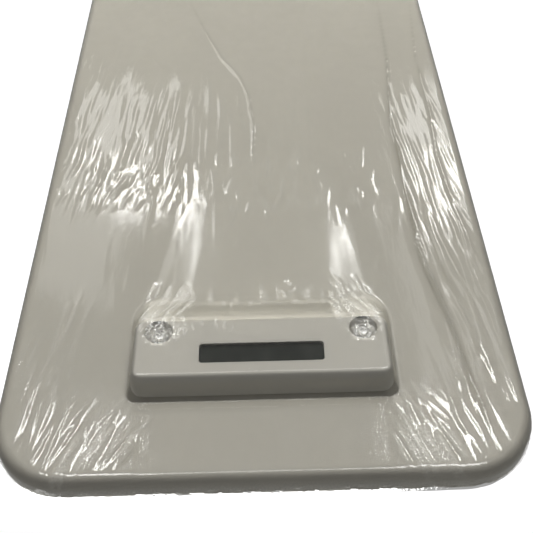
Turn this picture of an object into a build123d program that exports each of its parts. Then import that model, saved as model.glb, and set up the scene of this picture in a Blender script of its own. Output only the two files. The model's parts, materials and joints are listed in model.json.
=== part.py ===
from build123d import *
import math
import os

# Anti-theft gate for a shop entrance: one slim, free-standing aerial panel with a light-and-buzzer
# alarm unit near its head and a plinth at its foot. Millimetres, +Z up, X across the gate, the alarm
# unit on the -Y side. The origin is on the floor, at the middle of the plinth.

# ---- driving dimensions ----
GATE_HEIGHT = 1560.0
PANEL_WIDTH = 350.0
PANEL_THICK = 20.0
PANEL_FOOT = 12.0            # height of the panel's lower end above the floor
HEAD_RADIUS = 50.0           # the two corners at the head
FRONT_ROUND = 8.0            # round-over of the front edge
REAR_ROUND = 3.0             # round-over of the rear edge
WALL = 2.5                   # moulded shell wall
REAR_LID = 4.0               # depth of the rear shell
SEAM = 0.4                   # visible gap between the two shells

ALARM_WIDTH = 175.0
ALARM_HEIGHT = 53.0
ALARM_DEPTH = 19.5
ALARM_DROP = 61.5            # from the head down to the alarm cover
ALARM_CORNER = 9.0
ALARM_ROUND = 4.0
ALARM_WALL = 2.4
WINDOW_WIDTH = 82.6
WINDOW_HEIGHT = 15.4
WINDOW_DROP = 13.6           # from the cover's upper edge to the window
SCREW_SPACING = 138.0
SCREW_RISE = 13.4            # cover screws above the cover's lower edge
RECESS_RADIUS = 9.3
RECESS_DEPTH = 6.0

PLINTH_WIDTH = 392.0
PLINTH_DEPTH = 164.0
PLINTH_HEIGHT = 112.0
PLINTH_CORNER = 22.0
PLINTH_ROUND = 16.0
PLINTH_WALL = 3.0
PLINTH_FLOOR_GAP = 1.0
PLINTH_CLEARANCE = 0.7       # between the panel and the slot it passes through
PLINTH_SPLIT = 0.3           # gap between the plinth's front and rear halves
PLINTH_SCREW_X = 182.0
PLINTH_SCREW_ZS = [22.0, 64.0]

PLATE_WIDTH = 372.0
PLATE_DEPTH = 142.0
PLATE_THICK = 5.0
ANCHOR_SPACING_X = 320.0
ANCHOR_SPACING_Y = 100.0
ANCHOR_RADIUS = 6.0
CABLE_RADIUS = 12.0
CABLE_Y = 45.0

POST_X = 100.0
POST_WIDTH = 30.0
POST_DEPTH = 14.0
POST_TOP = 250.0
POST_BOLT_ZS = [40.0, 88.0]

COIL_WIRE = 2.5
COIL_Y = -5.6
TRANSMIT_X = 148.0
RECEIVE_X = 118.0
CROSSING_Z = 880.0           # where the receive coil's two diagonals cross
BOARD_THICK = 1.6
FILM_GAP = 0.3
FILM_THICK = 0.5
FILM_FOOT = 232.0

# ---- values worked out from them ----
FRONT = -PANEL_THICK / 2
REAR = PANEL_THICK / 2
SEAM_FRONT = REAR - REAR_LID
SEAM_REAR = SEAM_FRONT + SEAM
INNER_FRONT = FRONT + WALL
INNER_REAR = REAR - WALL
ALARM_TOP = GATE_HEIGHT - ALARM_DROP
ALARM_FOOT = ALARM_TOP - ALARM_HEIGHT
ALARM_MID = (ALARM_TOP + ALARM_FOOT) / 2
ALARM_FACE = FRONT - ALARM_DEPTH
WINDOW_MID = ALARM_TOP - WINDOW_DROP - WINDOW_HEIGHT / 2
SCREW_Z = ALARM_FOOT + SCREW_RISE
SCREW_X = SCREW_SPACING / 2
LENS_FRONT = ALARM_FACE + ALARM_WALL
LEAD_X = 66.0
LEAD_HEAD_Z = 1483.0
LEAD_FOOT_Z = 66.0
AERIAL_LEAD_X = -30.0
TUNING_Z = 290.0
SHELL_SCREW_X = PANEL_WIDTH / 2 - 15.0
SHELL_SCREW_ZS = [150.0, 410.0, 670.0, 930.0, 1190.0, 1450.0]
HEAD_SCREW_X = 62.0
HEAD_SCREW_Z = GATE_HEIGHT - 15.0
BOARD_WIDTH = 190.0
BOARD_FOOT = 14.0
BOARD_HEAD = 88.0
BOARD_FRONT = -50.0          # component face of the main board
BOARD_REAR = BOARD_FRONT + BOARD_THICK
STANDOFF = 6.0
BRACKET_X = 84.0
SWITCH_X = 84.0
SWITCH_Z = 60.0
SWITCH_FRONT = BOARD_FRONT - 11.0
SWITCH_DEEP = 3.0            # from the housing's front to the rocker's pivot
ROCKER_TILT = 9.0
CONTROL_Z = 26.0
SENSITIVITY_X = -14.0
VOLUME_X = 4.0
ALARM_TIME_X = 22.0
BUTTON_X = 42.0


# ---- helpers ----
def slab(sketch, y_low, y_high):
    """A sketch drawn in X and Z, as a solid from y_low to y_high."""
    return extrude(Plane.XZ.offset(-y_high) * sketch, amount=y_high - y_low)


def block(x0, x1, y0, y1, z0, z1):
    """A box between two corners."""
    return Pos((x0 + x1) / 2, (y0 + y1) / 2, (z0 + z1) / 2) * Box(x1 - x0, y1 - y0, z1 - z0)


def rod_x(y, z, radius, x_low, x_high):
    """A round bar along X."""
    return extrude(Plane.YZ.offset(x_low) * Pos(y, z) * Circle(radius), amount=x_high - x_low)


def rod_y(x, z, radius, y_low, y_high):
    """A round bar along Y."""
    return slab(Pos(x, z) * Circle(radius), y_low, y_high)


def rod_z(x, y, radius, z_low, z_high):
    """A round bar along Z."""
    return extrude(Plane.XY.offset(z_low) * Pos(x, y) * Circle(radius), amount=z_high - z_low)


def cone_y(x, z, radius_low, radius_high, y_low, y_high):
    """A cone along Y, from radius_low at y_low to radius_high at y_high."""
    low = Plane.XZ.offset(-y_low) * Pos(x, z) * Circle(radius_low)
    high = Plane.XZ.offset(-y_high) * Pos(x, z) * Circle(radius_high)
    return loft([low, high])


def group(solids):
    """Several separate solids as one node."""
    return Compound(children=list(solids))


def save(shape, name):
    """Writes one node."""
    export_step(shape, os.path.join("parts", name + ".step"))


def head_outline(inset, foot):
    """The panel's outline, moved inwards by inset, with its lower end at height foot."""
    top = GATE_HEIGHT - inset
    face = Pos(0, (top + foot) / 2) * Rectangle(PANEL_WIDTH - 2 * inset, top - foot)
    corners = face.vertices().group_by(Axis.Y)[-1]
    return fillet(corners, HEAD_RADIUS - inset)


def edges_on(shape, y, foot):
    """The edges in the plane at y, without the one along the lower end."""
    flat = shape.edges().filter_by(lambda e: abs(e.center().Y - y) < 1e-4)
    return [e for e in flat if abs(e.center().Z - foot) > 1e-3]


def panel_body(inset, foot, y_low, y_high, round_low, round_high):
    """A slab with the panel's outline and rounded front and rear edges."""
    body = slab(head_outline(inset, foot), y_low, y_high)
    if round_low:
        body = fillet(edges_on(body, y_low, foot), round_low)
    if round_high:
        body = fillet(edges_on(body, y_high, foot), round_high)
    return body


def cross_slot(x, z, y_head, way, size, depth):
    """The cross in a screw's head; way is the direction in which the head faces along Y."""
    y_low, y_high = sorted((y_head + way * 0.2, y_head - way * depth))
    bar = block(x - size / 2, x + size / 2, y_low, y_high, z - size / 7, z + size / 7)
    upright = block(x - size / 7, x + size / 7, y_low, y_high, z - size / 2, z + size / 2)
    return bar + upright


def shell_screw_places():
    """Where the rear shell is screwed to the front shell, as (x, z)."""
    sides = [(side * SHELL_SCREW_X, z) for z in SHELL_SCREW_ZS for side in (-1, 1)]
    return sides + [(side * HEAD_SCREW_X, HEAD_SCREW_Z) for side in (-1, 1)]


def lead(points, radii, radius):
    """A round wire along straight runs joined by arcs."""
    path = FilletPolyline(*points, radius=radii)
    start = path @ 0
    section = Plane(origin=start, z_dir=path % 0) * Circle(radius)
    return sweep(section, path=path)


# ---- the panel ----
def front_shell():
    outer = panel_body(0, PANEL_FOOT, FRONT, SEAM_FRONT, FRONT_ROUND, 0)
    inner = panel_body(WALL, PANEL_FOOT - 10, INNER_FRONT, SEAM_FRONT + 5, FRONT_ROUND - WALL, 0)
    shell = outer - inner
    for x, z in shell_screw_places():
        boss = rod_y(x, z, 4.5, INNER_FRONT - 0.5, INNER_REAR)
        shell = shell + boss - rod_y(x, z, 1.6, FRONT + 6, INNER_REAR + 1)
    for side in (-1, 1):
        insert_boss = rod_y(side * SCREW_X, SCREW_Z, 6.0, INNER_FRONT - 0.5, INNER_FRONT + 7)
        shell = shell + insert_boss - rod_y(side * SCREW_X, SCREW_Z, 3.5, FRONT - 1, INNER_FRONT + 8)
    for x, z in ((LEAD_X, LEAD_HEAD_Z), (LEAD_X, LEAD_FOOT_Z), (AERIAL_LEAD_X, LEAD_FOOT_Z)):
        shell = shell - rod_y(x, z, 4.0, FRONT - 1, INNER_FRONT + 1)
    return shell


def rear_shell():
    lid = panel_body(0, PANEL_FOOT, SEAM_REAR, REAR, 0, REAR_ROUND)
    hollow = slab(head_outline(WALL + 2.2, PANEL_FOOT - 10), SEAM_REAR - 5, INNER_REAR)
    lip = slab(head_outline(WALL + 0.2, PANEL_FOOT), SEAM_FRONT - 3, SEAM_REAR + 0.1)
    shell = lid + lip - hollow
    for x, z in shell_screw_places():
        sink = cone_y(x, z, 2.0, 4.0, REAR - 2.2, REAR + 0.01)
        shell = shell - rod_y(x, z, 2.0, SEAM_REAR - 4, REAR + 1) - sink
        shell = shell - rod_y(x, z, 4.8, SEAM_REAR - 5, INNER_REAR)
    for side in (-1, 1):
        for z in POST_BOLT_ZS:
            shell = shell - rod_y(side * POST_X, z, 3.3, SEAM_REAR - 4, REAR + 1)
    return shell


def shell_screws():
    made = []
    for x, z in shell_screw_places():
        head = cone_y(x, z, 1.5, 3.7, REAR - 2.25, REAR - 0.1)
        screw = head + rod_y(x, z, 1.5, REAR - 12, REAR - 2.2)
        made.append(screw - cross_slot(x, z, REAR - 0.1, 1, 3.4, 1.1))
    return group(made)


# ---- what stands on the floor ----
def base_plate():
    plate = extrude(RectangleRounded(PLATE_WIDTH, PLATE_DEPTH, 26), amount=PLATE_THICK)
    for sx in (-1, 1):
        for sy in (-1, 1):
            x, y = sx * ANCHOR_SPACING_X / 2, sy * ANCHOR_SPACING_Y / 2
            plate = plate - rod_z(x, y, ANCHOR_RADIUS, -1, PLATE_THICK + 1)
    return plate - rod_z(0, CABLE_Y, CABLE_RADIUS + 4, -1, PLATE_THICK + 1)


def cable_grommet():
    body = rod_z(0, CABLE_Y, CABLE_RADIUS + 4, 0, PLATE_THICK)
    flange = rod_z(0, CABLE_Y, CABLE_RADIUS + 8, PLATE_THICK, PLATE_THICK + 3)
    flange = fillet(flange.edges().filter_by(GeomType.CIRCLE).sort_by(Axis.Z)[-1], 1.4)
    return body + flange - rod_z(0, CABLE_Y, CABLE_RADIUS, -1, PLATE_THICK + 4)


def post(side):
    x = side * POST_X
    half = POST_WIDTH / 2
    deep = POST_DEPTH / 2
    tube = block(x - half, x + half, -deep, deep, PLATE_THICK, POST_TOP)
    tube = fillet(tube.edges().filter_by(Axis.Z), 2.0)
    core = block(x - half + 1.5, x + half - 1.5, -deep + 1.5, deep - 1.5, PLATE_THICK - 1, POST_TOP + 1)
    tube = tube - core
    for z in POST_BOLT_ZS:
        tube = tube - rod_y(x, z, 3.2, 0, deep + 1)
    return tube


def post_bolts():
    made = []
    for side in (-1, 1):
        for z in POST_BOLT_ZS:
            x = side * POST_X
            head = rod_y(x, z, 5.2, REAR, REAR + 3.2)
            head = fillet(head.edges().filter_by(GeomType.CIRCLE).sort_by(Axis.Y)[-1], 2.2)
            socket = slab(Pos(x, z) * RegularPolygon(2.2, 6), REAR + 1.2, REAR + 4)
            made.append(head - socket + rod_y(x, z, 3.0, 0.5, REAR))
    return group(made)


# ---- the plinth, a two-part cover that lifts up the panel ----
def plinth_solid(inset):
    """The plinth's outer form, moved inwards by inset. Its lower end runs below the floor gap."""
    low = PLINTH_FLOOR_GAP - (5 if inset else 0)
    high = PLINTH_HEIGHT - inset
    outline = RectangleRounded(PLINTH_WIDTH - 2 * inset, PLINTH_DEPTH - 2 * inset, PLINTH_CORNER - inset)
    form = extrude(Plane.XY.offset(low) * outline, amount=high - low)
    return fillet(form.edges().group_by(Axis.Z)[-1], PLINTH_ROUND - inset)


def panel_slot():
    """The space that the panel passes through, with the sliding clearance round it."""
    grow = PLINTH_CLEARANCE
    half = PANEL_WIDTH / 2 + grow
    form = block(-half, half, FRONT - grow, REAR + grow, PLINTH_HEIGHT - 40, PLINTH_HEIGHT + 10)
    uprights = form.edges().filter_by(Axis.Z).group_by(Axis.Y)
    form = fillet(uprights[0], FRONT_ROUND + grow)
    uprights = form.edges().filter_by(Axis.Z).group_by(Axis.Y)
    return fillet(uprights[-1], REAR_ROUND + grow)


def plinth():
    """The whole cover: a shell with a collar round the slot for the panel."""
    shell = plinth_solid(0) - plinth_solid(PLINTH_WALL)
    lip = PLINTH_CLEARANCE + 2.4
    half = PANEL_WIDTH / 2 + lip
    collar = block(-half, half, FRONT - lip, REAR + lip, PLINTH_HEIGHT - 9, PLINTH_HEIGHT - 1)
    return shell + collar - panel_slot()


def plinth_lug(side, z, y_low, y_high):
    """A screw lug with the rib that ties it to the side wall, cut off flush with the outside."""
    x = side * PLINTH_SCREW_X
    x_wall = side * (PLINTH_WIDTH / 2 - 1)
    rib = block(min(x, x_wall), max(x, x_wall), y_low, y_high, z - 1.2, z + 1.2)
    return (rod_y(x, z, 5.5, y_low, y_high) + rib) & plinth_solid(0)


def plinth_front():
    reach = PLINTH_WIDTH
    half = plinth() & block(-reach, reach, -reach, -PLINTH_SPLIT / 2, -10, 200)
    for side in (-1, 1):
        for z in PLINTH_SCREW_ZS:
            half = half + plinth_lug(side, z, -18, -PLINTH_SPLIT / 2)
            half = half - rod_y(side * PLINTH_SCREW_X, z, 1.6, -15, 1)
    return half


def plinth_rear():
    """The rear half; its screws are reached through long wells in the back wall."""
    reach = PLINTH_WIDTH
    half = plinth() & block(-reach, reach, PLINTH_SPLIT / 2, reach, -10, 200)
    for side in (-1, 1):
        for z in PLINTH_SCREW_ZS:
            lug = plinth_lug(side, z, PLINTH_SPLIT / 2, PLINTH_DEPTH / 2 - 1.5)
            half = half + lug
            half = half - rod_y(side * PLINTH_SCREW_X, z, 1.9, -1, 10)
            half = half - rod_y(side * PLINTH_SCREW_X, z, 3.7, 8, PLINTH_DEPTH)
    return half


def plinth_screws():
    made = []
    for side in (-1, 1):
        for z in PLINTH_SCREW_ZS:
            x = side * PLINTH_SCREW_X
            screw = rod_y(x, z, 3.2, 8, 10.2) + rod_y(x, z, 1.5, -12, 8)
            made.append(screw - cross_slot(x, z, 10.2, 1, 3.2, 1.0))
    return group(made)


# ---- inside the panel ----
def stiffener(side):
    """A hollow plastic upright that keeps the shells apart."""
    x = side * POST_X
    bar = block(x - 10, x + 10, 0.5, 7.3, POST_TOP + 8, 1420)
    core = block(x - 8.5, x + 8.5, 2.0, 5.8, POST_TOP + 7, 1421)
    return bar - core


def foam_pads():
    """Soft blocks that keep the rear shell from drumming."""
    lowest, spacing = 400.0, 200.0
    zs = [lowest + spacing * k for k in range(6)]
    return group([block(-40, 40, 0.5, 7.3, z - 30, z + 30) for z in zs])


def transmit_coil():
    """One loop of wire that starts and ends at the sides of the tuning board."""
    x, high, start = TRANSMIT_X, 1500.0, 45.0
    points = [(-start, COIL_Y, TUNING_Z), (-x, COIL_Y, TUNING_Z), (-x, COIL_Y, high)]
    points += [(x, COIL_Y, high), (x, COIL_Y, TUNING_Z), (start, COIL_Y, TUNING_Z)]
    return lead(points, [30, 40, 40, 30], COIL_WIRE / 2)


def receive_coil():
    """One wire in a figure of eight, its second diagonal lying behind its first."""
    x, low, high, feed = RECEIVE_X, 340.0, 1420.0, TUNING_Z + 20
    behind = -1.9
    first = [(-8, COIL_Y, feed), (-8, COIL_Y, low), (-x, COIL_Y, low), (-x, COIL_Y, CROSSING_Z - 30)]
    second = [(x, COIL_Y, CROSSING_Z + 30), (x, COIL_Y, high), (-x, COIL_Y, high)]
    third = [(-x, COIL_Y, CROSSING_Z + 90), (-x, behind, CROSSING_Z + 30)]
    fourth = [(x, behind, CROSSING_Z - 30), (x, COIL_Y, CROSSING_Z - 90)]
    last = [(x, COIL_Y, low), (8, COIL_Y, low), (8, COIL_Y, feed)]
    radii = [8, 26, 20, 20, 30, 30, 40, 20, 20, 40, 26, 8]
    return lead(first + second + third + fourth + last, radii, COIL_WIRE / 2)


def coil_clips():
    """Saddles on the front shell's inner face that hold the wires' upright runs."""
    places = [(TRANSMIT_X, 380 + 240 * k) for k in range(5)]
    places += [(RECEIVE_X, z + 160 * k) for z in (400, 1020) for k in range(3)]
    made = []
    for x, z in places:
        for side in (-1, 1):
            saddle = block(side * x - 5, side * x + 5, INNER_FRONT, -3.4, z - 4, z + 4)
            made.append(saddle - rod_z(side * x, COIL_Y, COIL_WIRE / 2 + 0.1, z - 5, z + 5))
    return group(made)


def tuning_board():
    return block(-45, 45, COIL_Y - BOARD_THICK / 2, COIL_Y + BOARD_THICK / 2, TUNING_Z - 20, TUNING_Z + 20)


def tuning_parts():
    """The variable capacitor, a relay-sized coil can and four small capacitors on the tuning board."""
    top = COIL_Y + BOARD_THICK / 2
    body = rod_y(22, TUNING_Z, 5.0, top, top + 4)
    body = body - block(17.5, 26.5, top + 3.2, top + 5, TUNING_Z - 0.5, TUNING_Z + 0.5)
    can = block(-30, -18, top, top + 7, TUNING_Z - 6, TUNING_Z + 6)
    chips = [block(x - 1.6, x + 1.6, top, top + 1.4, TUNING_Z + 8, TUNING_Z + 13) for x in (-6, 0, 6, 12)]
    return group([body, can, *chips])


def alarm_lead():
    """Two-core lead from the main board, up inside the panel, to the alarm unit."""
    y_board = BOARD_REAR + 8
    points = [(LEAD_X, y_board, LEAD_FOOT_Z), (LEAD_X, 4, LEAD_FOOT_Z)]
    points += [(LEAD_X, 4, LEAD_HEAD_Z), (LEAD_X, FRONT - 4, LEAD_HEAD_Z)]
    return lead(points, [9, 9], 1.8)


def aerial_lead():
    """Screened lead from the main board to the lower edge of the tuning board."""
    x = AERIAL_LEAD_X
    points = [(x, BOARD_REAR + 8, LEAD_FOOT_Z), (x, 4, LEAD_FOOT_Z), (x, 4, 150)]
    points += [(x, COIL_Y, 205), (x, COIL_Y, TUNING_Z - 20)]
    return lead(points, [9, 80, 80], 1.5)


def lead_grommets():
    made = []
    for x, z, r in ((LEAD_X, LEAD_HEAD_Z, 2.0), (LEAD_X, LEAD_FOOT_Z, 2.0), (AERIAL_LEAD_X, LEAD_FOOT_Z, 1.7)):
        ring = rod_y(x, z, 3.9, FRONT, INNER_FRONT) + rod_y(x, z, 5.4, INNER_FRONT, INNER_FRONT + 1.2)
        made.append(ring - rod_y(x, z, r, FRONT - 1, INNER_FRONT + 2))
    return group(made)


# ---- the alarm unit ----
def alarm_outline(inset):
    width, height = ALARM_WIDTH - 2 * inset, ALARM_HEIGHT - 2 * inset
    return Pos(0, ALARM_MID) * RectangleRounded(width, height, ALARM_CORNER - inset)


def alarm_form(inset, y_high):
    form = slab(alarm_outline(inset), ALARM_FACE + inset, y_high)
    return fillet(form.edges().group_by(Axis.Y)[0], max(ALARM_ROUND - inset, 1.0))


def alarm_cover():
    cover = alarm_form(0, FRONT) - alarm_form(ALARM_WALL, FRONT + 5)
    window = Pos(0, WINDOW_MID) * RectangleRounded(WINDOW_WIDTH, WINDOW_HEIGHT, 1.6)
    seat = ALARM_FACE + RECESS_DEPTH
    for side in (-1, 1):
        x = side * SCREW_X
        tower = rod_y(x, SCREW_Z, RECESS_RADIUS + 1.8, ALARM_FACE + 1, seat + ALARM_WALL)
        tower = tower & alarm_form(0, FRONT)
        leg = rod_y(x, SCREW_Z, 5.0, seat, FRONT - 1.5)
        cover = cover + tower + leg
        cover = cover - rod_y(x, SCREW_Z, RECESS_RADIUS, ALARM_FACE - 1, seat)
        cover = cover - rod_y(x, SCREW_Z, 2.3, seat - 1, FRONT)
    return cover - slab(window, ALARM_FACE - 1, LENS_FRONT + 1)


def lens_gasket():
    ring = RectangleRounded(WINDOW_WIDTH + 9, WINDOW_HEIGHT + 7, 2.5)
    hole = RectangleRounded(WINDOW_WIDTH + 2, WINDOW_HEIGHT + 1.6, 1.6)
    return slab(Pos(0, WINDOW_MID) * (ring - hole), LENS_FRONT, LENS_FRONT + 0.5)


def alarm_lens():
    plate = Pos(0, WINDOW_MID) * RectangleRounded(WINDOW_WIDTH + 9, WINDOW_HEIGHT + 7, 2.5)
    return slab(plate, LENS_FRONT + 0.5, LENS_FRONT + 3.0)


def alarm_backplate():
    inset = ALARM_WALL + 0.4
    plate = slab(alarm_outline(inset), FRONT - 1.5, FRONT)
    for side in (-1, 1):
        plate = plate - rod_y(side * SCREW_X, SCREW_Z, 2.4, FRONT - 3, FRONT + 1)
        plate = plate + rod_y(side * 44, WINDOW_MID, 2.6, FRONT - 5.4, FRONT - 1.5)
    return plate - rod_y(LEAD_X, LEAD_HEAD_Z, 4.0, FRONT - 3, FRONT + 1)


def led_board():
    z0, z1 = WINDOW_MID - 11, WINDOW_MID + 11
    return block(-50, 50, FRONT - 5.4 - BOARD_THICK, FRONT - 5.4, z0, z1)


def alarm_leds():
    face = FRONT - 5.4 - BOARD_THICK
    made = []
    for k in range(8):
        x = -35 + 10 * k
        body = rod_y(x, WINDOW_MID, 2.5, face - 5.6, face) + rod_y(x, WINDOW_MID, 2.9, face - 1, face)
        made.append(fillet(body.edges().filter_by(GeomType.CIRCLE).sort_by(Axis.Y)[0], 2.3))
    return group(made)


def buzzer():
    x, z = -70.0, 1483.5
    can = rod_y(x, z, 8.0, FRONT - 10.5, FRONT - 1.5)
    can = fillet(can.edges().filter_by(GeomType.CIRCLE).sort_by(Axis.Y)[0], 0.8)
    return can - rod_y(x, z, 1.5, FRONT - 11, FRONT - 8)


def lead_plug():
    """The connector at the alarm end of the lead."""
    face = FRONT - 4
    return block(LEAD_X - 5, LEAD_X + 5, face - 7, face, LEAD_HEAD_Z - 3.5, LEAD_HEAD_Z + 3.5)


def alarm_screws():
    seat = ALARM_FACE + RECESS_DEPTH
    made = []
    for side in (-1, 1):
        x = side * SCREW_X
        head = rod_y(x, SCREW_Z, 4.0, seat - 3.4, seat - 1.0)
        head = fillet(head.edges().filter_by(GeomType.CIRCLE).sort_by(Axis.Y)[0], 1.3)
        screw = head + rod_y(x, SCREW_Z, 2.0, seat - 1.0, INNER_FRONT + 5)
        made.append(screw - cross_slot(x, SCREW_Z, seat - 3.4, -1, 4.4, 1.4))
    return group(made)


def alarm_washers():
    seat = ALARM_FACE + RECESS_DEPTH
    made = []
    for side in (-1, 1):
        ring = Circle(6.0) - Circle(2.2)
        made.append(slab(Pos(side * SCREW_X, SCREW_Z) * ring, seat - 1.0, seat))
    return group(made)


def threaded_inserts():
    made = []
    for side in (-1, 1):
        ring = Circle(3.5) - Circle(2.05)
        made.append(slab(Pos(side * SCREW_X, SCREW_Z) * ring, FRONT + 0.1, INNER_FRONT + 6.5))
    return group(made)


# ---- the electronics under the plinth ----
def board_brackets():
    made = []
    for side in (-1, 1):
        x = side * BRACKET_X
        y = BOARD_REAR + STANDOFF
        foot = block(x - 8, x + 8, y, y + 20, PLATE_THICK, PLATE_THICK + 2)
        wall = block(x - 8, x + 8, y, y + 2, PLATE_THICK, BOARD_HEAD)
        foot = foot - rod_z(x, y + 12, 2.3, 0, 20)
        made.append(foot + wall)
    return group(made)


def bracket_screws():
    made = []
    for side in (-1, 1):
        x, y, z = side * BRACKET_X, BOARD_REAR + STANDOFF + 12, PLATE_THICK + 2
        head = rod_z(x, y, 4.0, z, z + 2.6)
        head = fillet(head.edges().filter_by(GeomType.CIRCLE).sort_by(Axis.Z)[-1], 1.2)
        slot = block(x - 3, x + 3, y - 0.5, y + 0.5, z + 1.6, z + 3)
        made.append(head - slot + rod_z(x, y, 2.0, PLATE_THICK, z))
    return group(made)


def main_board():
    half = BOARD_WIDTH / 2
    board = block(-half, half, BOARD_FRONT, BOARD_REAR, BOARD_FOOT, BOARD_HEAD)
    board = fillet(board.edges().filter_by(Axis.Y), 2.0)
    for x, z in standoff_places():
        board = board - rod_y(x, z, 1.7, BOARD_FRONT - 1, BOARD_REAR + 1)
    return board


def standoff_places():
    """Where the main board is screwed to its standoffs, as (x, z)."""
    return [(side * BRACKET_X, z) for side in (-1, 1) for z in (BOARD_FOOT + 8, BOARD_HEAD - 8)]


def board_standoffs():
    made = []
    for x, z in standoff_places():
        sleeve = RegularPolygon(3.2, 6) - Circle(1.7)
        made.append(slab(Pos(x, z) * sleeve, BOARD_REAR, BOARD_REAR + STANDOFF))
    return group(made)


def board_screws():
    made = []
    for x, z in standoff_places():
        head = rod_y(x, z, 2.9, BOARD_FRONT - 2.0, BOARD_FRONT)
        head = fillet(head.edges().filter_by(GeomType.CIRCLE).sort_by(Axis.Y)[0], 0.9)
        screw = head + rod_y(x, z, 1.5, BOARD_FRONT, BOARD_REAR + STANDOFF - 0.5)
        made.append(screw - cross_slot(x, z, BOARD_FRONT - 2.0, -1, 3.0, 0.9))
    return group(made)


def terminal_block(x, z, ways):
    """A screw terminal strip on the board's lower edge, with a wire entry and a screw hole for each way."""
    pitch, deep = 5.08, 9.0
    half = ways * pitch / 2
    body = block(x - half, x + half, BOARD_FRONT - deep, BOARD_FRONT, z, z + 10)
    body = chamfer(body.edges().filter_by(Axis.X).sort_by(Axis.Y)[0:2].sort_by(Axis.Z)[-1], 2.5)
    for k in range(ways):
        xk = x - half + pitch * (k + 0.5)
        body = body - block(xk - 1.6, xk + 1.6, BOARD_FRONT - 7.5, BOARD_FRONT - 2.5, z - 1, z + 4)
        body = body - rod_z(xk, BOARD_FRONT - 4.5, 1.6, z + 7, z + 11)
    return body


def lead_connectors():
    """The two sockets on the back of the main board, where the leads arrive."""
    made = []
    for x in (LEAD_X, AERIAL_LEAD_X):
        z0, z1 = LEAD_FOOT_Z - 4, LEAD_FOOT_Z + 4
        made.append(block(x - 6, x + 6, BOARD_REAR, BOARD_REAR + 8, z0, z1))
    return group(made)


def filter_coils():
    made = []
    for x in (-62.0, -36.0):
        ring = slab(Pos(x, 62) * (Circle(11) - Circle(4.6)), BOARD_FRONT - 9, BOARD_FRONT)
        made.append(fillet(ring.edges().filter_by(GeomType.CIRCLE).group_by(Axis.Y)[0], 2.4))
    return group(made)


def capacitors():
    made = []
    for x, z, r, tall in ((-8, 66, 6.3, 18), (8, 66, 6.3, 18), (-6, 44, 4.0, 11), (6, 44, 4.0, 11)):
        can = rod_y(x, z, r, BOARD_FRONT - tall, BOARD_FRONT)
        can = fillet(can.edges().filter_by(GeomType.CIRCLE).sort_by(Axis.Y)[0], 0.8)
        mark = block(x - r * 0.7, x + r * 0.7, BOARD_FRONT - tall - 1, BOARD_FRONT - tall + 0.4, z - 0.3, z + 0.3)
        made.append(can - mark)
    return group(made)


def heat_sink():
    base = block(24, 50, BOARD_FRONT - 4, BOARD_FRONT - 1.0, 54, 84)
    for k in range(6):
        x = 24 + 4.72 * k
        base = base + block(x, x + 2.4, BOARD_FRONT - 15, BOARD_FRONT - 3.5, 54, 84)
    return base + block(30, 44, BOARD_FRONT - 1.5, BOARD_FRONT, 60, 78)


def processor_chips():
    made = [block(57, 73, BOARD_FRONT - 2.0, BOARD_FRONT, 44, 60)]
    made += [block(-62 + 16 * k, -52 + 16 * k, BOARD_FRONT - 1.8, BOARD_FRONT, 36, 41) for k in range(3)]
    return group(made)


def fuse_holder():
    tray = block(-92, -76, BOARD_FRONT - 4, BOARD_FRONT, 34, 60)
    return tray - block(-90, -78, BOARD_FRONT - 5, BOARD_FRONT - 1.5, 36, 58)


def fuse():
    return rod_z(-84, BOARD_FRONT - 4.2, 2.6, 36.2, 57.8)


def status_leds():
    made = []
    for k in range(3):
        x = 58 + 8 * k
        body = rod_y(x, 34, 1.5, BOARD_FRONT - 4.4, BOARD_FRONT)
        made.append(fillet(body.edges().filter_by(GeomType.CIRCLE).sort_by(Axis.Y)[0], 1.3))
    return group(made)


# ---- the controls on the main board ----
def switch_housing():
    deep = SWITCH_DEEP
    body = block(SWITCH_X - 7.2, SWITCH_X + 7.2, SWITCH_FRONT, BOARD_FRONT, SWITCH_Z - 11, SWITCH_Z + 11)
    body = body - block(
        SWITCH_X - 5.2, SWITCH_X + 5.2, SWITCH_FRONT - 1, BOARD_FRONT - 2, SWITCH_Z - 9.2, SWITCH_Z + 9.2
    )
    return body - rod_x(SWITCH_FRONT + deep, SWITCH_Z, 1.4, SWITCH_X - 6.4, SWITCH_X + 6.4)


def power_rocker():
    """Tilted about its two stub pins, with its lower end pressed in."""
    outline = [(3.5, 3.0), (-1.5, 8.0), (-4.6, 7.7), (-3.4, 0), (-4.6, -7.7), (-1.5, -8.0), (3.5, -3.0)]
    face = make_face(Polyline(*outline, close=True))
    body = extrude(Plane.YZ.offset(-4.9) * face, amount=9.8) + rod_x(0, 0, 1.1, -6.1, 6.1)
    return Pos(SWITCH_X, SWITCH_FRONT + SWITCH_DEEP, SWITCH_Z) * Rot(ROCKER_TILT, 0, 0) * body


def trimmer_bodies():
    made = []
    for x in (SENSITIVITY_X, VOLUME_X, ALARM_TIME_X):
        body = block(x - 5, x + 5, BOARD_FRONT - 6, BOARD_FRONT, CONTROL_Z - 5, CONTROL_Z + 5)
        made.append(body - rod_y(x, CONTROL_Z, 3.25, BOARD_FRONT - 7, BOARD_FRONT - 4.5))
    return group(made)


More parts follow.
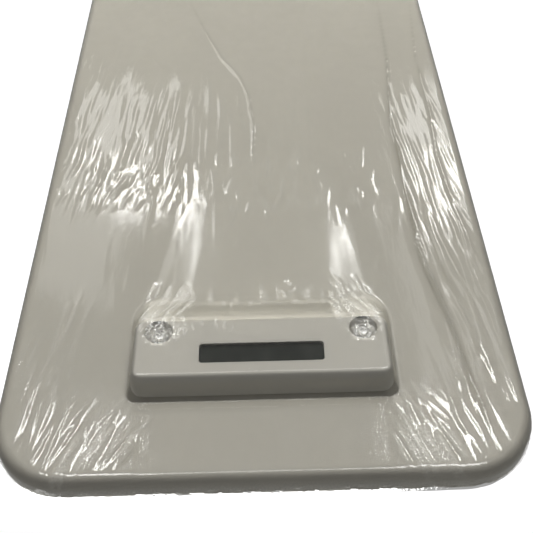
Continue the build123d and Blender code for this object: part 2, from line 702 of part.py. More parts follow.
def trimmer_knob(x):
    """A ribbed thumb knob with a pointer groove, on the trimmer's shaft."""
    shaft = rod_y(x, CONTROL_Z, 3.2, BOARD_FRONT - 7, BOARD_FRONT - 4.9)
    grip = rod_y(x, CONTROL_Z, 4.6, BOARD_FRONT - 13, BOARD_FRONT - 6.4)
    for k in range(12):
        angle = math.radians(30 * k + 15)
        rib_x, rib_z = x + 4.9 * math.cos(angle), CONTROL_Z + 4.9 * math.sin(angle)
        grip = grip - rod_y(rib_x, rib_z, 0.7, BOARD_FRONT - 14, BOARD_FRONT - 6)
    pointer = block(x - 0.45, x + 0.45, BOARD_FRONT - 14, BOARD_FRONT - 12.2, CONTROL_Z, CONTROL_Z + 5.5)
    return shaft + grip - pointer


def button_housing():
    body = block(BUTTON_X - 4, BUTTON_X + 4, BOARD_FRONT - 4, BOARD_FRONT, CONTROL_Z - 4, CONTROL_Z + 4)
    return body - rod_y(BUTTON_X, CONTROL_Z, 2.3, BOARD_FRONT - 5, BOARD_FRONT - 0.8)


def reset_button():
    stem = rod_y(BUTTON_X, CONTROL_Z, 2.2, BOARD_FRONT - 7, BOARD_FRONT - 2.2)
    cap = rod_y(BUTTON_X, CONTROL_Z, 3.2, BOARD_FRONT - 8, BOARD_FRONT - 5.2)
    button = stem + cap
    return fillet(button.edges().filter_by(GeomType.CIRCLE).sort_by(Axis.Y)[0], 0.8)


# ---- the clear film that the gate is delivered in ----
def film_form(offset):
    """The panel and alarm cover, grown by offset, with the ramp under the cover where the film lifts off."""
    foot = FILM_FOOT if offset > FILM_GAP else FILM_FOOT - 5
    body = panel_body(-offset, foot, FRONT - offset, REAR + offset, FRONT_ROUND + offset, REAR_ROUND + offset)
    bump = alarm_form(-offset, 0)
    ramp_low = ALARM_FOOT - 34 - offset
    half = ALARM_WIDTH / 2 - 8
    points = [(FRONT - offset, ramp_low), (ALARM_FACE + 3 - offset, ALARM_FOOT + 4), (0, ALARM_FOOT + 4)]
    points += [(0, ramp_low)]
    ramp = extrude(Plane.YZ.offset(-half) * make_face(Polyline(*points, close=True)), amount=2 * half)
    return body + bump + ramp


def protective_film():
    return film_form(FILM_GAP + FILM_THICK) - film_form(FILM_GAP)


NODES = {
    "front_shell": front_shell,
    "rear_shell": rear_shell,
    "shell_screws": shell_screws,
    "base_plate": base_plate,
    "cable_grommet": cable_grommet,
    "post_left": lambda: post(-1),
    "post_right": lambda: post(1),
    "post_bolts": post_bolts,
    "plinth_front": plinth_front,
    "plinth_rear": plinth_rear,
    "plinth_screws": plinth_screws,
    "stiffener_left": lambda: stiffener(-1),
    "stiffener_right": lambda: stiffener(1),
    "foam_pads": foam_pads,
    "transmit_coil": transmit_coil,
    "receive_coil": receive_coil,
    "coil_clips": coil_clips,
    "tuning_board": tuning_board,
    "tuning_parts": tuning_parts,
    "alarm_lead": alarm_lead,
    "aerial_lead": aerial_lead,
    "lead_grommets": lead_grommets,
    "alarm_cover": alarm_cover,
    "lens_gasket": lens_gasket,
    "alarm_lens": alarm_lens,
    "alarm_backplate": alarm_backplate,
    "led_board": led_board,
    "alarm_leds": alarm_leds,
    "buzzer": buzzer,
    "lead_plug": lead_plug,
    "alarm_screws": alarm_screws,
    "alarm_washers": alarm_washers,
    "threaded_inserts": threaded_inserts,
    "board_brackets": board_brackets,
    "bracket_screws": bracket_screws,
    "main_board": main_board,
    "board_standoffs": board_standoffs,
    "board_screws": board_screws,
    "supply_terminal": lambda: terminal_block(-64, BOARD_FOOT + 2, 2),
    "link_terminal": lambda: terminal_block(-40, BOARD_FOOT + 2, 4),
    "lead_connectors": lead_connectors,
    "filter_coils": filter_coils,
    "capacitors": capacitors,
    "heat_sink": heat_sink,
    "processor_chips": processor_chips,
    "fuse_holder": fuse_holder,
    "fuse": fuse,
    "status_leds": status_leds,
    "switch_housing": switch_housing,
    "power_rocker": power_rocker,
    "trimmer_bodies": trimmer_bodies,
    "sensitivity_knob": lambda: trimmer_knob(SENSITIVITY_X),
    "volume_knob": lambda: trimmer_knob(VOLUME_X),
    "alarm_time_knob": lambda: trimmer_knob(ALARM_TIME_X),
    "button_housing": button_housing,
    "reset_button": reset_button,
    "protective_film": protective_film,
}

os.makedirs("parts", exist_ok=True)
for node, make in NODES.items():
    save(make(), node)
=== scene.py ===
import json
import math

import bmesh
import bpy
import numpy as np
from mathutils import Matrix, Vector


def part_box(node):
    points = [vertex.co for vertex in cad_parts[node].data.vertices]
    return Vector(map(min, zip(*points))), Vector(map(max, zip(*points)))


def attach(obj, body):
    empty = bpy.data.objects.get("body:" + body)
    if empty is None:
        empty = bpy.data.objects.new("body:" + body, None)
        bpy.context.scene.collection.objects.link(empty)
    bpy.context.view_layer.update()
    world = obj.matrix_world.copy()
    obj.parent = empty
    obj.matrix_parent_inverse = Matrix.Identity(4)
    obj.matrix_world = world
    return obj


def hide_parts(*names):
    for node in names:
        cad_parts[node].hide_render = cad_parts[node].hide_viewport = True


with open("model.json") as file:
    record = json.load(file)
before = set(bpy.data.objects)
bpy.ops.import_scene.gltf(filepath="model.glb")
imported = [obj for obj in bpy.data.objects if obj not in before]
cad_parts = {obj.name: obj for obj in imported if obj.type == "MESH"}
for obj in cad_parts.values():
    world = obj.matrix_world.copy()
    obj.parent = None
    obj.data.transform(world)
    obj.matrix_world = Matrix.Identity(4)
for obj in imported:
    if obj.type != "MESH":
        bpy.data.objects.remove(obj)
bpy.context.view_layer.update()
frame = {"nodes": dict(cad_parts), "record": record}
nodes = frame["nodes"]

MM = 0.001
QUARTER = math.pi / 2

# ---- places, read from the frame ----
panel_low, panel_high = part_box("front_shell")
rear_low, rear_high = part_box("rear_shell")
cover_low, cover_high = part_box("alarm_cover")
lens_low, lens_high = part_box("alarm_lens")
screws_low, screws_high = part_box("alarm_screws")
washers_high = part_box("alarm_washers")[1]

HALF_WIDTH = panel_high.x
HEAD = panel_high.z
FOOT = panel_low.z
FRONT = panel_low.y
SEAM_FRONT = panel_high.y
REAR = rear_high.y
COVER_FACE = cover_low.y
COVER_HALF = cover_high.x
COVER_TOP = cover_high.z
COVER_FOOT = cover_low.z
COVER_HEIGHT = FRONT - COVER_FACE
FILM_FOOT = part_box("protective_film")[0].z

# ---- sizes of the mouldings ----
HEAD_RADIUS = 50 * MM
FRONT_ROUND = 8 * MM
REAR_ROUND = 3 * MM
WALL = 2.5 * MM
COVER_CORNER = 9 * MM
COVER_ROUND = 4 * MM
COVER_WALL = 2.4 * MM
WINDOW_HALF_X = 41.3 * MM
WINDOW_HALF_Z = 7.7 * MM
WINDOW_CORNER = 2.2 * MM
WINDOW_Z = (lens_low.z + lens_high.z) / 2
RECESS_RADIUS = 9.3 * MM
SCREW_HEAD = 4 * MM
SCREW_X = screws_high.x - SCREW_HEAD
SCREW_Z = (screws_low.z + screws_high.z) / 2


# ---- camera ----
def add_camera():
    """Looks down the face from beyond the head, as a person does who stands at that end."""
    pitch, yaw, roll = math.radians(47.33), math.radians(0.31), math.radians(-1.23)
    forward = Vector((-math.sin(yaw) * math.cos(pitch), math.sin(pitch), -math.cos(yaw) * math.cos(pitch)))
    out = Vector((0, -1, 0))
    right = forward.cross(out).normalized()
    up = right.cross(forward)
    turned_right = math.cos(roll) * right + math.sin(roll) * up
    turned_up = -math.sin(roll) * right + math.cos(roll) * up
    aside, ahead, above = 2.68 * MM, 466.2 * MM, 252.8 * MM
    place = Vector((-aside, FRONT - ahead, HEAD + above))
    data = bpy.data.cameras.new("camera")
    data.lens = 56.9
    data.sensor_width = 36
    data.clip_start = 0.01
    data.clip_end = 100
    camera = bpy.data.objects.new("camera", data)
    axes = Matrix((turned_right, turned_up, -forward)).transposed()
    camera.matrix_world = Matrix.Translation(place) @ axes.to_4x4()
    bpy.context.scene.collection.objects.link(camera)
    bpy.context.scene.camera = camera


# ---- node material helpers ----
class Nodes:
    """A material's node tree, with short calls to add and join nodes."""

    def __init__(self, name):
        self.material = bpy.data.materials.new(name)
        self.material.use_nodes = True
        self.tree = self.material.node_tree
        self.tree.nodes.clear()
        self.output = self.add("ShaderNodeOutputMaterial")

    def add(self, kind, **values):
        node = self.tree.nodes.new(kind)
        for key, value in values.items():
            setattr(node, key, value)
        return node

    def join(self, source, target):
        self.tree.links.new(source, target)

    def place(self):
        """The object's own coordinates, in metres."""
        return self.add("ShaderNodeTexCoord").outputs["Object"]

    def noise(self, scale, detail=4.0, rough=0.55, stretch=None, distort=0.0):
        """Cloudy noise from 0 to 1. stretch scales the place along X, Y and Z first."""
        texture = self.add("ShaderNodeTexNoise")
        texture.inputs["Scale"].default_value = scale
        texture.inputs["Detail"].default_value = detail
        texture.inputs["Roughness"].default_value = rough
        texture.inputs["Distortion"].default_value = distort
        source = self.place()
        if stretch:
            mapping = self.add("ShaderNodeMapping")
            mapping.inputs["Scale"].default_value = stretch
            self.join(source, mapping.inputs["Vector"])
            source = mapping.outputs["Vector"]
        self.join(source, texture.inputs["Vector"])
        return texture.outputs["Fac"]

    def cells(self, scale, feature="F1"):
        """The distance from each cell's middle, or with another feature from its edges."""
        texture = self.add("ShaderNodeTexVoronoi", feature=feature)
        texture.inputs["Scale"].default_value = scale
        self.join(self.place(), texture.inputs["Vector"])
        return texture.outputs["Distance"]

    def spread(self, source, low, high, low_to, high_to):
        """Maps the range from low to high onto the range from low_to to high_to, without going past it."""
        node = self.add("ShaderNodeMapRange")
        for key, value in (("From Min", low), ("From Max", high), ("To Min", low_to), ("To Max", high_to)):
            node.inputs[key].default_value = value
        self.join(source, node.inputs["Value"])
        return node.outputs["Result"]

    def math(self, operation, first, second):
        """A sum on two values, each a number or another node's output."""
        node = self.add("ShaderNodeMath", operation=operation)
        for socket, value in zip(node.inputs, (first, second)):
            if isinstance(value, (int, float)):
                socket.default_value = value
            else:
                self.join(value, socket)
        return node.outputs["Value"]

    def mix(self, factor, first, second):
        """A colour between the first and the second.

        Each value is a number, a colour or another node's output."""
        node = self.add("ShaderNodeMix", data_type="RGBA")
        for socket, value in zip((node.inputs[0], node.inputs[6], node.inputs[7]), (factor, first, second)):
            if isinstance(value, (int, float)):
                socket.default_value = value
            elif isinstance(value, tuple):
                socket.default_value = (*value, 1)
            else:
                self.join(value, socket)
        return node.outputs[2]

    def bump(self, height, distance, strength=1.0, below=None):
        """A normal that follows a height, on top of the one below it."""
        node = self.add("ShaderNodeBump")
        node.inputs["Strength"].default_value = strength
        node.inputs["Distance"].default_value = distance
        self.join(height, node.inputs["Height"])
        if below is not None:
            self.join(below, node.inputs["Normal"])
        return node.outputs["Normal"]

    def surface(self, colour, roughness, normal=None, metallic=0.0, specular=0.5, coat=0.0):
        """Ends the tree in one principled shader and gives back the material."""
        shader = self.add("ShaderNodeBsdfPrincipled")
        shader.inputs["Metallic"].default_value = metallic
        shader.inputs["Specular IOR Level"].default_value = specular
        shader.inputs["Coat Weight"].default_value = coat
        for name, value in (("Base Color", colour), ("Roughness", roughness)):
            if isinstance(value, tuple):
                shader.inputs[name].default_value = (*value, 1)
            elif isinstance(value, (int, float)):
                shader.inputs[name].default_value = value
            else:
                self.join(value, shader.inputs[name])
        if normal is not None:
            self.join(normal, shader.inputs["Normal"])
        self.join(shader.outputs["BSDF"], self.output.inputs["Surface"])
        return self.material


def shade(colour, factor):
    """The same hue, lighter or darker."""
    return tuple(channel * factor for channel in colour)


def moulded_plastic(name, colour, grain=1500, depth=0.06, rough=0.5):
    """Moulded ABS with a spark-eroded grain, faint flow marks and a few handling marks."""
    n = Nodes(name)
    flow = n.noise(6, detail=3, stretch=(1, 1, 0.35))
    mottle = n.noise(90, detail=5)
    tint = n.mix(n.spread(flow, 0.35, 0.65, 0, 1), shade(colour, 0.97), shade(colour, 1.03))
    tint = n.mix(n.spread(mottle, 0.3, 0.7, 0, 0.35), tint, shade(colour, 0.94))
    scuff = n.noise(35, detail=8, rough=0.75, stretch=(1, 1, 5), distort=0.6)
    scuff_mask = n.spread(scuff, 0.66, 0.74, 0, 1)
    tint = n.mix(n.math("MULTIPLY", scuff_mask, 0.12), tint, shade(colour, 1.25))
    fine = n.noise(grain, detail=2, rough=0.6)
    pits = n.cells(grain * 0.6)
    height = n.math("ADD", fine, n.math("MULTIPLY", pits, 0.6))
    normal = n.bump(height, depth * MM, 0.8)
    swell = n.bump(n.noise(14, detail=1), 0.5 * MM, 0.15, below=normal)
    glossiness = n.spread(n.noise(45, detail=4), 0.3, 0.7, rough - 0.05, rough + 0.07)
    return n.surface(tint, glossiness, swell, specular=0.45)


def metal(name, colour, rough=0.3, blotch=0.12):
    """Plated or galvanised metal with a blotchy film of oxide."""
    n = Nodes(name)
    cloud = n.noise(60, detail=6, rough=0.65)
    crystals = n.cells(180)
    tint = n.mix(n.spread(cloud, 0.3, 0.7, 0, 1), shade(colour, 1 - blotch), shade(colour, 1 + blotch / 2))
    tint = n.mix(n.spread(crystals, 0, 0.8, 0, 0.3), tint, shade(colour, 1 - blotch))
    normal = n.bump(n.noise(900, detail=3), 0.03 * MM, 0.5)
    gloss = n.spread(n.noise(200, detail=4), 0.3, 0.7, rough - 0.07, rough + 0.1)
    return n.surface(tint, gloss, normal, metallic=1.0)


def rubber(name, colour, pores=700, rough=0.75):
    """Rubber or foam: matt, pored, with pale dust in patches."""
    n = Nodes(name)
    dust = n.noise(120, detail=6, rough=0.7)
    tint = n.mix(n.spread(dust, 0.4, 0.75, 0, 0.4), colour, shade(colour, 2.2))
    normal = n.bump(n.cells(pores), 0.15 * MM, 0.6)
    return n.surface(tint, n.spread(dust, 0.3, 0.7, rough - 0.1, rough + 0.1), normal)


def gloss_plastic(name, colour, rough=0.2):
    """A shiny moulding, enamel or glass bead, with a clear skin."""
    n = Nodes(name)
    tone = n.noise(150, detail=4)
    tint = n.mix(n.spread(tone, 0.3, 0.7, 0, 1), shade(colour, 0.9), shade(colour, 1.1))
    normal = n.bump(n.noise(400, detail=2), 0.02 * MM, 0.4)
    return n.surface(tint, n.spread(tone, 0.3, 0.7, rough - 0.05, rough + 0.08), normal, coat=0.3)


def circuit_board():
    """Green solder mask over copper tracks, with tinned pads and glass-fibre edges."""
    n = Nodes("circuit_board")
    tracks = n.add("ShaderNodeTexBrick", offset=0.37, squash=0.6, squash_frequency=3)
    mapping = n.add("ShaderNodeMapping")
    mapping.inputs["Rotation"].default_value = (math.radians(90), 0, 0)
    n.join(n.place(), mapping.inputs["Vector"])
    n.join(mapping.outputs["Vector"], tracks.inputs["Vector"])
    for key, value in (("Scale", 260.0), ("Mortar Size", 0.06), ("Brick Width", 1.7), ("Row Height", 0.4)):
        tracks.inputs[key].default_value = value
    mask = n.mix(tracks.outputs["Fac"], (0.012, 0.12, 0.05), (0.03, 0.24, 0.1))
    pads = n.spread(n.cells(330), 0.16, 0.2, 1, 0)
    scatter = n.spread(n.noise(60, detail=2), 0.52, 0.56, 0, 1)
    pad_mask = n.math("MULTIPLY", pads, scatter)
    tint = n.mix(pad_mask, mask, (0.55, 0.55, 0.5))
    normal = n.bump(n.math("ADD", tracks.outputs["Fac"], pad_mask), 0.05 * MM, 0.6)
    return n.surface(tint, n.spread(pad_mask, 0, 1, 0.3, 0.22), normal, coat=0.2)


def dark_lens():
    """Smoke-tinted polycarbonate: near black, glossy, with the faint orange peel of a moulding."""
    n = Nodes("dark_lens")
    tone = n.noise(70, detail=3)
    tint = n.mix(n.spread(tone, 0.3, 0.7, 0, 1), (0.016, 0.019, 0.014), (0.026, 0.03, 0.023))
    normal = n.bump(n.noise(120, detail=1), 0.05 * MM, 0.3)
    dust = n.spread(n.noise(900, detail=6, rough=0.8), 0.55, 0.75, 0.12, 0.3)
    return n.surface(tint, dust, normal, specular=0.25)


def clear_film():
    """Clear stretch film: see-through and glossy at every wrinkle; milky where it is crumpled or doubled,
    with painted white glints on wrinkle crests and painted shade along creases.
    """
    n = Nodes("clear_film")
    fine = n.noise(420, detail=3, rough=0.6, stretch=(1, 1, 0.22))
    creases = n.noise(150, detail=4, rough=0.6, stretch=(1, 1, 0.3), distort=0.8)
    milk_and_glint = n.add("ShaderNodeAttribute", attribute_name="milk_and_glint").outputs["Fac"]
    crumple = n.cells(330, feature="DISTANCE_TO_EDGE")
    normal = n.bump(fine, 0.05 * MM, 0.35)
    normal = n.bump(creases, 0.25 * MM, 0.3, below=normal)
    normal = n.bump(n.math("MULTIPLY", crumple, milk_and_glint), 0.8 * MM, 0.6, below=normal)
    # what it mirrors, from both of its faces, and how blurred that is where it hangs slack
    fresnel = n.add("ShaderNodeFresnel")
    fresnel.inputs["IOR"].default_value = 1.5
    n.join(normal, fresnel.inputs["Normal"])
    both_faces = n.math("MULTIPLY", fresnel.outputs["Fac"], 1.15)
    gloss = n.add("ShaderNodeBsdfGlossy")
    gloss.inputs["Color"].default_value = (1, 1, 0.98, 1)
    slack = n.add("ShaderNodeAttribute", attribute_name="slack").outputs["Fac"]
    blur = n.math("ADD", n.spread(creases, 0.3, 0.7, 0.05, 0.11), n.math("MULTIPLY", slack, 0.1))
    n.join(blur, gloss.inputs["Roughness"])
    n.join(normal, gloss.inputs["Normal"])
    # what shows through it, with painted shade along creases, round the wells' rims and over the ramp at the
    # alarm cover's foot
    clear = n.add("ShaderNodeBsdfTransparent")
    fold_shade = n.add("ShaderNodeAttribute", attribute_name="fold_shade").outputs["Fac"]
    n.join(n.mix(fold_shade, (0.985, 0.985, 0.98), (0.55, 0.54, 0.5)), clear.inputs["Color"])
    # the milky look of film lying on film, and painted white glints on wrinkle crests and crumple ridges
    white_diffuse = n.add("ShaderNodeBsdfDiffuse")
    white_diffuse.inputs["Color"].default_value = (0.92, 0.9, 0.83, 1)
    n.join(normal, white_diffuse.inputs["Normal"])
    # the white is strongest on the crumples' ridges: a painted highlight
    ridges = n.spread(crumple, 0.0, 0.2, 1.0, 0.25)
    white_share = n.math("ADD", n.spread(creases, 0.45, 0.75, 0.002, 0.014), n.math("MULTIPLY", milk_and_glint, ridges))
    clear_and_white = n.add("ShaderNodeMixShader")
    n.join(white_share, clear_and_white.inputs["Fac"])
    n.join(clear.outputs["BSDF"], clear_and_white.inputs[1])
    n.join(white_diffuse.outputs["BSDF"], clear_and_white.inputs[2])
    mixed = n.add("ShaderNodeMixShader")
    n.join(both_faces, mixed.inputs["Fac"])
    n.join(clear_and_white.outputs["Shader"], mixed.inputs[1])
    n.join(gloss.outputs["BSDF"], mixed.inputs[2])
    n.join(mixed.outputs["Shader"], n.output.inputs["Surface"])
    return n.material


def pale_floor():
    """A plain white ground, lifted by a glow of its own so that it shows no horizon."""
    n = Nodes("pale_floor")
    tone = n.noise(1.5, detail=2)
    tint = n.mix(n.spread(tone, 0.3, 0.7, 0, 1), (0.8, 0.8, 0.8), (0.82, 0.82, 0.82))
    material = n.surface(tint, 0.7)
    shader = n.tree.nodes["Principled BSDF"]
    shader.inputs["Emission Color"].default_value = (1, 1, 1, 1)
    shader.inputs["Emission Strength"].default_value = 0.7
    return material


# ---- mesh helpers ----
def piece(name, mesh_bm, material, stands_for):
    """Turns a bmesh into a smooth piece that rides on the gate and replaces CAD nodes."""
    bmesh.ops.recalc_face_normals(mesh_bm, faces=mesh_bm.faces)
    mesh = bpy.data.meshes.new(name)
    mesh_bm.to_mesh(mesh)
    mesh_bm.free()
    mesh.materials.append(material)
    mesh.polygons.foreach_set("use_smooth", [True] * len(mesh.polygons))
    thing = bpy.data.objects.new(name, mesh)
    bpy.context.scene.collection.objects.link(thing)
    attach(thing, "gate")
    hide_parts(*stands_for)
    return thing


def quarter_turn(centre_x, centre_z, radius, start, steps):
    """Points round a quarter circle in X and Z, from one angle in degrees."""
    points = []
    for k in range(steps + 1):
        angle = math.radians(start + 90 * k / steps)
        points.append((centre_x + radius * math.cos(angle), centre_z + radius * math.sin(angle)))
    return points


def rounded_outline(half_x, low_z, high_z, radius, steps):
    """Points round a rectangle with rounded corners in X and Z, anticlockwise from its low right corner."""
    right, left = half_x - radius, -half_x + radius
    low, high = low_z + radius, high_z - radius
    points = []
    for x, z, start in ((right, low, -90), (right, high, 0), (left, high, 90), (left, low, 180)):
        points += quarter_turn(x, z, radius, start, steps)
    return points


def circle_points(x, z, radius, steps):
    turns = [2 * math.pi * k / steps for k in range(steps)]
    return [(x + radius * math.cos(turn), z + radius * math.sin(turn)) for turn in turns]


def arc(centre_inset, centre_y, radius, start, end, steps):
    """Points of a rounding, as (inset, y), from one angle to another in degrees."""
    made = []
    for k in range(steps + 1):
        angle = math.radians(start + (end - start) * k / steps)
        made.append((centre_inset - radius * math.cos(angle), centre_y + radius * math.sin(angle)))
    return made


def ring(bm, points, y):
    """New vertices at places in X and Z, all at one depth."""
    return [bm.verts.new((x, y, z)) for x, z in points]


def strip(bm, first, second, closed=True):
    """Quads between two rings of as many points."""
    count = len(first)
    for k in range(count if closed else count - 1):
        j = (k + 1) % count
        bm.faces.new((first[k], first[j], second[j], second[k]))


def strips(bm, rings, closed=True):
    """Quads between each ring and the next."""
    for first, second in zip(rings, rings[1:]):
        strip(bm, first, second, closed)


def fill_between(bm, *loops):
    """Fills a flat region whose edge and holes are closed loops."""
    edges = []
    for loop in loops:
        for k in range(len(loop)):
            edges.append(bm.edges.get((loop[k - 1], loop[k])) or bm.edges.new((loop[k - 1], loop[k])))
    bmesh.ops.triangle_fill(bm, use_beauty=True, use_dissolve=False, edges=edges)


# ---- panel shells ----
FACE_MARGIN = 0.4 * MM


def panel_ring(inset):
    """The panel's outline moved inwards, from its right foot over the head to its left foot."""
    radius = HEAD_RADIUS - inset
    half, top = HALF_WIDTH - inset, HEAD - inset
    points = [(half, FOOT)]
    points += quarter_turn(half - radius, top - radius, radius, 0, 40)
    points += quarter_turn(-half + radius, top - radius, radius, 90, 40)
    points.append((-half, FOOT))
    return points


def shell_rings(bm, profile):
    """The walls of a tray whose section is the profile, as rings, closed at the foot."""
    rings = [ring(bm, panel_ring(inset), y) for inset, y in profile]
    strips(bm, rings, closed=False)
    return rings


def close_foot(bm, rings):
    """The flat foot of a tray, from the ends of its rings."""
    bm.faces.new([r[0] for r in rings] + [r[-1] for r in reversed(rings)])


def front_shell(material):
    """The front tray, with its large edge rounding inside and out."""
    bm = bmesh.new()
    face_inset = FRONT_ROUND + FACE_MARGIN
    lip = 0.4 * MM
    profile = [(face_inset, FRONT)]
    profile += arc(FRONT_ROUND, FRONT + FRONT_ROUND, FRONT_ROUND, -90, 0, 12)
    profile += [(0, FRONT + FRONT_ROUND + lip), (0, SEAM_FRONT - 0.5 * MM)]
    profile += arc(lip, SEAM_FRONT - lip, lip, 0, 90, 3)
    profile += [(WALL, SEAM_FRONT)]
    profile += arc(FRONT_ROUND, FRONT + FRONT_ROUND, FRONT_ROUND - WALL, 0, -90, 6)
    profile += [(face_inset, FRONT + WALL)]
    rings = shell_rings(bm, profile)
    fill_between(bm, rings[0])
    fill_between(bm, rings[-1])
    close_foot(bm, rings)
    return piece("front_shell_form", bm, material, stands_for=["front_shell"])


def rear_hole_places():
    """Where the rear shell is pierced, as (x, z, whether the hole is countersunk)."""
    screw_head, lowest, pitch, rows = 3.7 * MM, 150 * MM, 260 * MM, 6
    head_x, below_head = 62 * MM, 15 * MM
    bolt_x, bolt_heights = 100 * MM, (40 * MM, 88 * MM)
    side_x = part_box("shell_screws")[1].x - screw_head
    places = [(side * side_x, lowest + pitch * k, True) for k in range(rows) for side in (-1, 1)]
    places += [(side * head_x, HEAD - below_head, True) for side in (-1, 1)]
    places += [(side * bolt_x, z, False) for side in (-1, 1) for z in bolt_heights]
    return places


def rear_hole_profile(sunk):
    """A hole's section as (radius, y): a countersink with a small lead-in, or a plain hole."""
    mouth, neck = (4.0 * MM, 2.0 * MM) if sunk else (3.3 * MM, 3.3 * MM)
    sink = REAR - 2.2 * MM
    return [
        (mouth + 0.3 * MM, REAR), (mouth, REAR), (mouth - 0.1 * MM, REAR - 0.15 * MM), (neck, sink),
        (neck, REAR - WALL),
    ]


def rear_shell(material):
    """The rear lid, with its countersunk screw holes and the four plain holes for the post bolts."""
    bm = bmesh.new()
    face_inset = REAR_ROUND + FACE_MARGIN
    tongue, tongue_wall = WALL + 0.2 * MM, 2 * MM
    groove, groove_lip = rear_low.y + 3.4 * MM, 0.2 * MM
    profile = [(face_inset, REAR)]
    profile += arc(REAR_ROUND, REAR - REAR_ROUND, REAR_ROUND, 90, 0, 8)
    profile += [(0, groove + groove_lip), (groove_lip, groove), (tongue, groove), (tongue, rear_low.y)]
    profile += [(tongue + tongue_wall, rear_low.y), (tongue + tongue_wall, REAR - WALL)]
    rings = shell_rings(bm, profile)
    outer_holes, inner_holes = [], []
    for x, z, sunk in rear_hole_places():
        circles = [ring(bm, circle_points(x, z, radius, 32), y) for radius, y in rear_hole_profile(sunk)]
        strips(bm, circles)
        outer_holes.append(circles[0])
        inner_holes.append(circles[-1])
    fill_between(bm, rings[0], *outer_holes)
    fill_between(bm, rings[-1], *inner_holes)
    close_foot(bm, rings)
    return piece("rear_shell_form", bm, material, stands_for=["rear_shell"])


# ---- alarm cover ----
# its sides bow outwards, from the face's edge down to the panel
BOW_INSET = COVER_ROUND + 1.2 * MM
BOW_DEPTH = COVER_HEIGHT - 3.4 * MM
BOW_FULLNESS = 1.25
MOUTH_ROUND = 0.35 * MM
MOUTH_MARGIN = 0.2 * MM


def cover_ring(inset):
    """The alarm cover's outline moved inwards."""
    radius = max(COVER_CORNER - inset, 1.2 * MM)
    return rounded_outline(COVER_HALF - inset, COVER_FOOT + inset, COVER_TOP - inset, radius, steps=16)


def window_ring(grow):
    """The window slot's outline moved outwards."""
    low, high = WINDOW_Z - WINDOW_HALF_Z - grow, WINDOW_Z + WINDOW_HALF_Z + grow
    return rounded_outline(WINDOW_HALF_X + grow, low, high, WINDOW_CORNER + grow, steps=8)


def cover_profile(inner_face):
    """The cover's section as (inset, y): its face, its bowed side, a rounded foot and its inner wall."""
    foot_round, foot_gap, steps = 1.1 * MM, 0.4 * MM, 14
    profile = [(BOW_INSET + 0.3 * MM, COVER_FACE)]
    for k in range(steps + 1):
        turn = math.radians(90 * k / steps)
        fall = BOW_DEPTH * (1 - math.cos(turn)) ** BOW_FULLNESS
        profile.append((BOW_INSET * (1 - math.sin(turn)), COVER_FACE + fall))
    profile += arc(foot_round, FRONT - foot_gap - foot_round, foot_round, 0, 90, 5)
    return profile + [(COVER_WALL, FRONT - foot_gap), (COVER_WALL, inner_face)]


def mouth_profile(steps):
    """The rounded mouth of a hole in the cover's face, as (how far outside the hole's wall, y)."""
    return [(MOUTH_ROUND + MOUTH_MARGIN, COVER_FACE)] + arc(
        MOUTH_ROUND, COVER_FACE + MOUTH_ROUND, MOUTH_ROUND, -90, 0, steps
    )


def well_profile(inner_face):
    """A screw well's section as (radius, y): its mouth, its floor with the screw hole, and its outside."""
    seat, floor_round, screw_hole, outside = washers_high.y, 0.6 * MM, 2.3 * MM, RECESS_RADIUS + 1.4 * MM
    well = [(RECESS_RADIUS + grow, y) for grow, y in mouth_profile(4)]
    well += [(RECESS_RADIUS, seat - floor_round), (RECESS_RADIUS - floor_round, seat), (screw_hole, seat)]
    well += [(screw_hole, seat + COVER_WALL), (outside, seat + COVER_WALL), (outside, inner_face)]
    return well


def alarm_cover(material):
    """The alarm unit's cover: a soft-edged box with a window slot and two screw wells."""
    bm = bmesh.new()
    inner_face = COVER_FACE + COVER_WALL
    rings = [ring(bm, cover_ring(inset), y) for inset, y in cover_profile(inner_face)]
    strips(bm, rings)
    window_rings = [ring(bm, window_ring(grow), y) for grow, y in mouth_profile(3) + [(0, inner_face)]]
    strips(bm, window_rings)
    outer_loops, inner_loops = [rings[0], window_rings[0]], [rings[-1], window_rings[-1]]
    for side in (-1, 1):
        profile = well_profile(inner_face)
        places = [(circle_points(side * SCREW_X, SCREW_Z, radius, 56), y) for radius, y in profile]
        circles = [ring(bm, points, y) for points, y in places]
        strips(bm, circles)
        outer_loops.append(circles[0])
        inner_loops.append(circles[-1])
    fill_between(bm, *outer_loops)
    fill_between(bm, *inner_loops)
    return piece("alarm_cover_form", bm, material, stands_for=["alarm_cover"])


# ---- laying out the film ----
FILM_GAP = 0.45 * MM
FRONT_FILM_ROUND = FRONT_ROUND + FILM_GAP
REAR_FILM_ROUND = REAR_ROUND + FILM_GAP
FRONT_WRAP = 8.5 * MM
REAR_WRAP = 5 * MM
# where wrinkles may start, in millimetres
ALL_ACROSS = (-172, 172)
ALL_ALONG = (232, 1560)


def smooth_step(value):
    """Eases from 0 to 1 as the value does."""
    share = np.clip(value, 0, 1)
    return share * share * (3 - 2 * share)


def bell(value, width, power=2):
    """1 in the middle, fading to 0 past the width; a higher power has a flatter top."""
    return np.exp(-((value / width) ** power))


def lattice_noise(x, z, cell_x, cell_z, rng):
    """Smooth noise from -1 to 1 with features of the given size."""
    u, v = (x - x.min()) / cell_x, (z - z.min()) / cell_z
    values = rng.uniform(-1, 1, (int(u.max()) + 3, int(v.max()) + 3))
    i, j = u.astype(int), v.astype(int)
    across, along = smooth_step(u - i), smooth_step(v - j)
    low = values[i, j] * (1 - across) + values[i + 1, j] * across
    high = values[i, j + 1] * (1 - across) + values[i + 1, j + 1] * across
    return low * (1 - along) + high * along


def spaced(start, stretches):
    """Places from the start on, evenly spaced in each stretch: (its end, its spacing)."""
    places = [np.array([start])]
    for end, spacing in stretches:
        start = places[-1][-1]
        count = max(1, round((end - start) / spacing))
        places.append(start + (end - start) * np.arange(1, count + 1) / count)
    return np.concatenate(places)


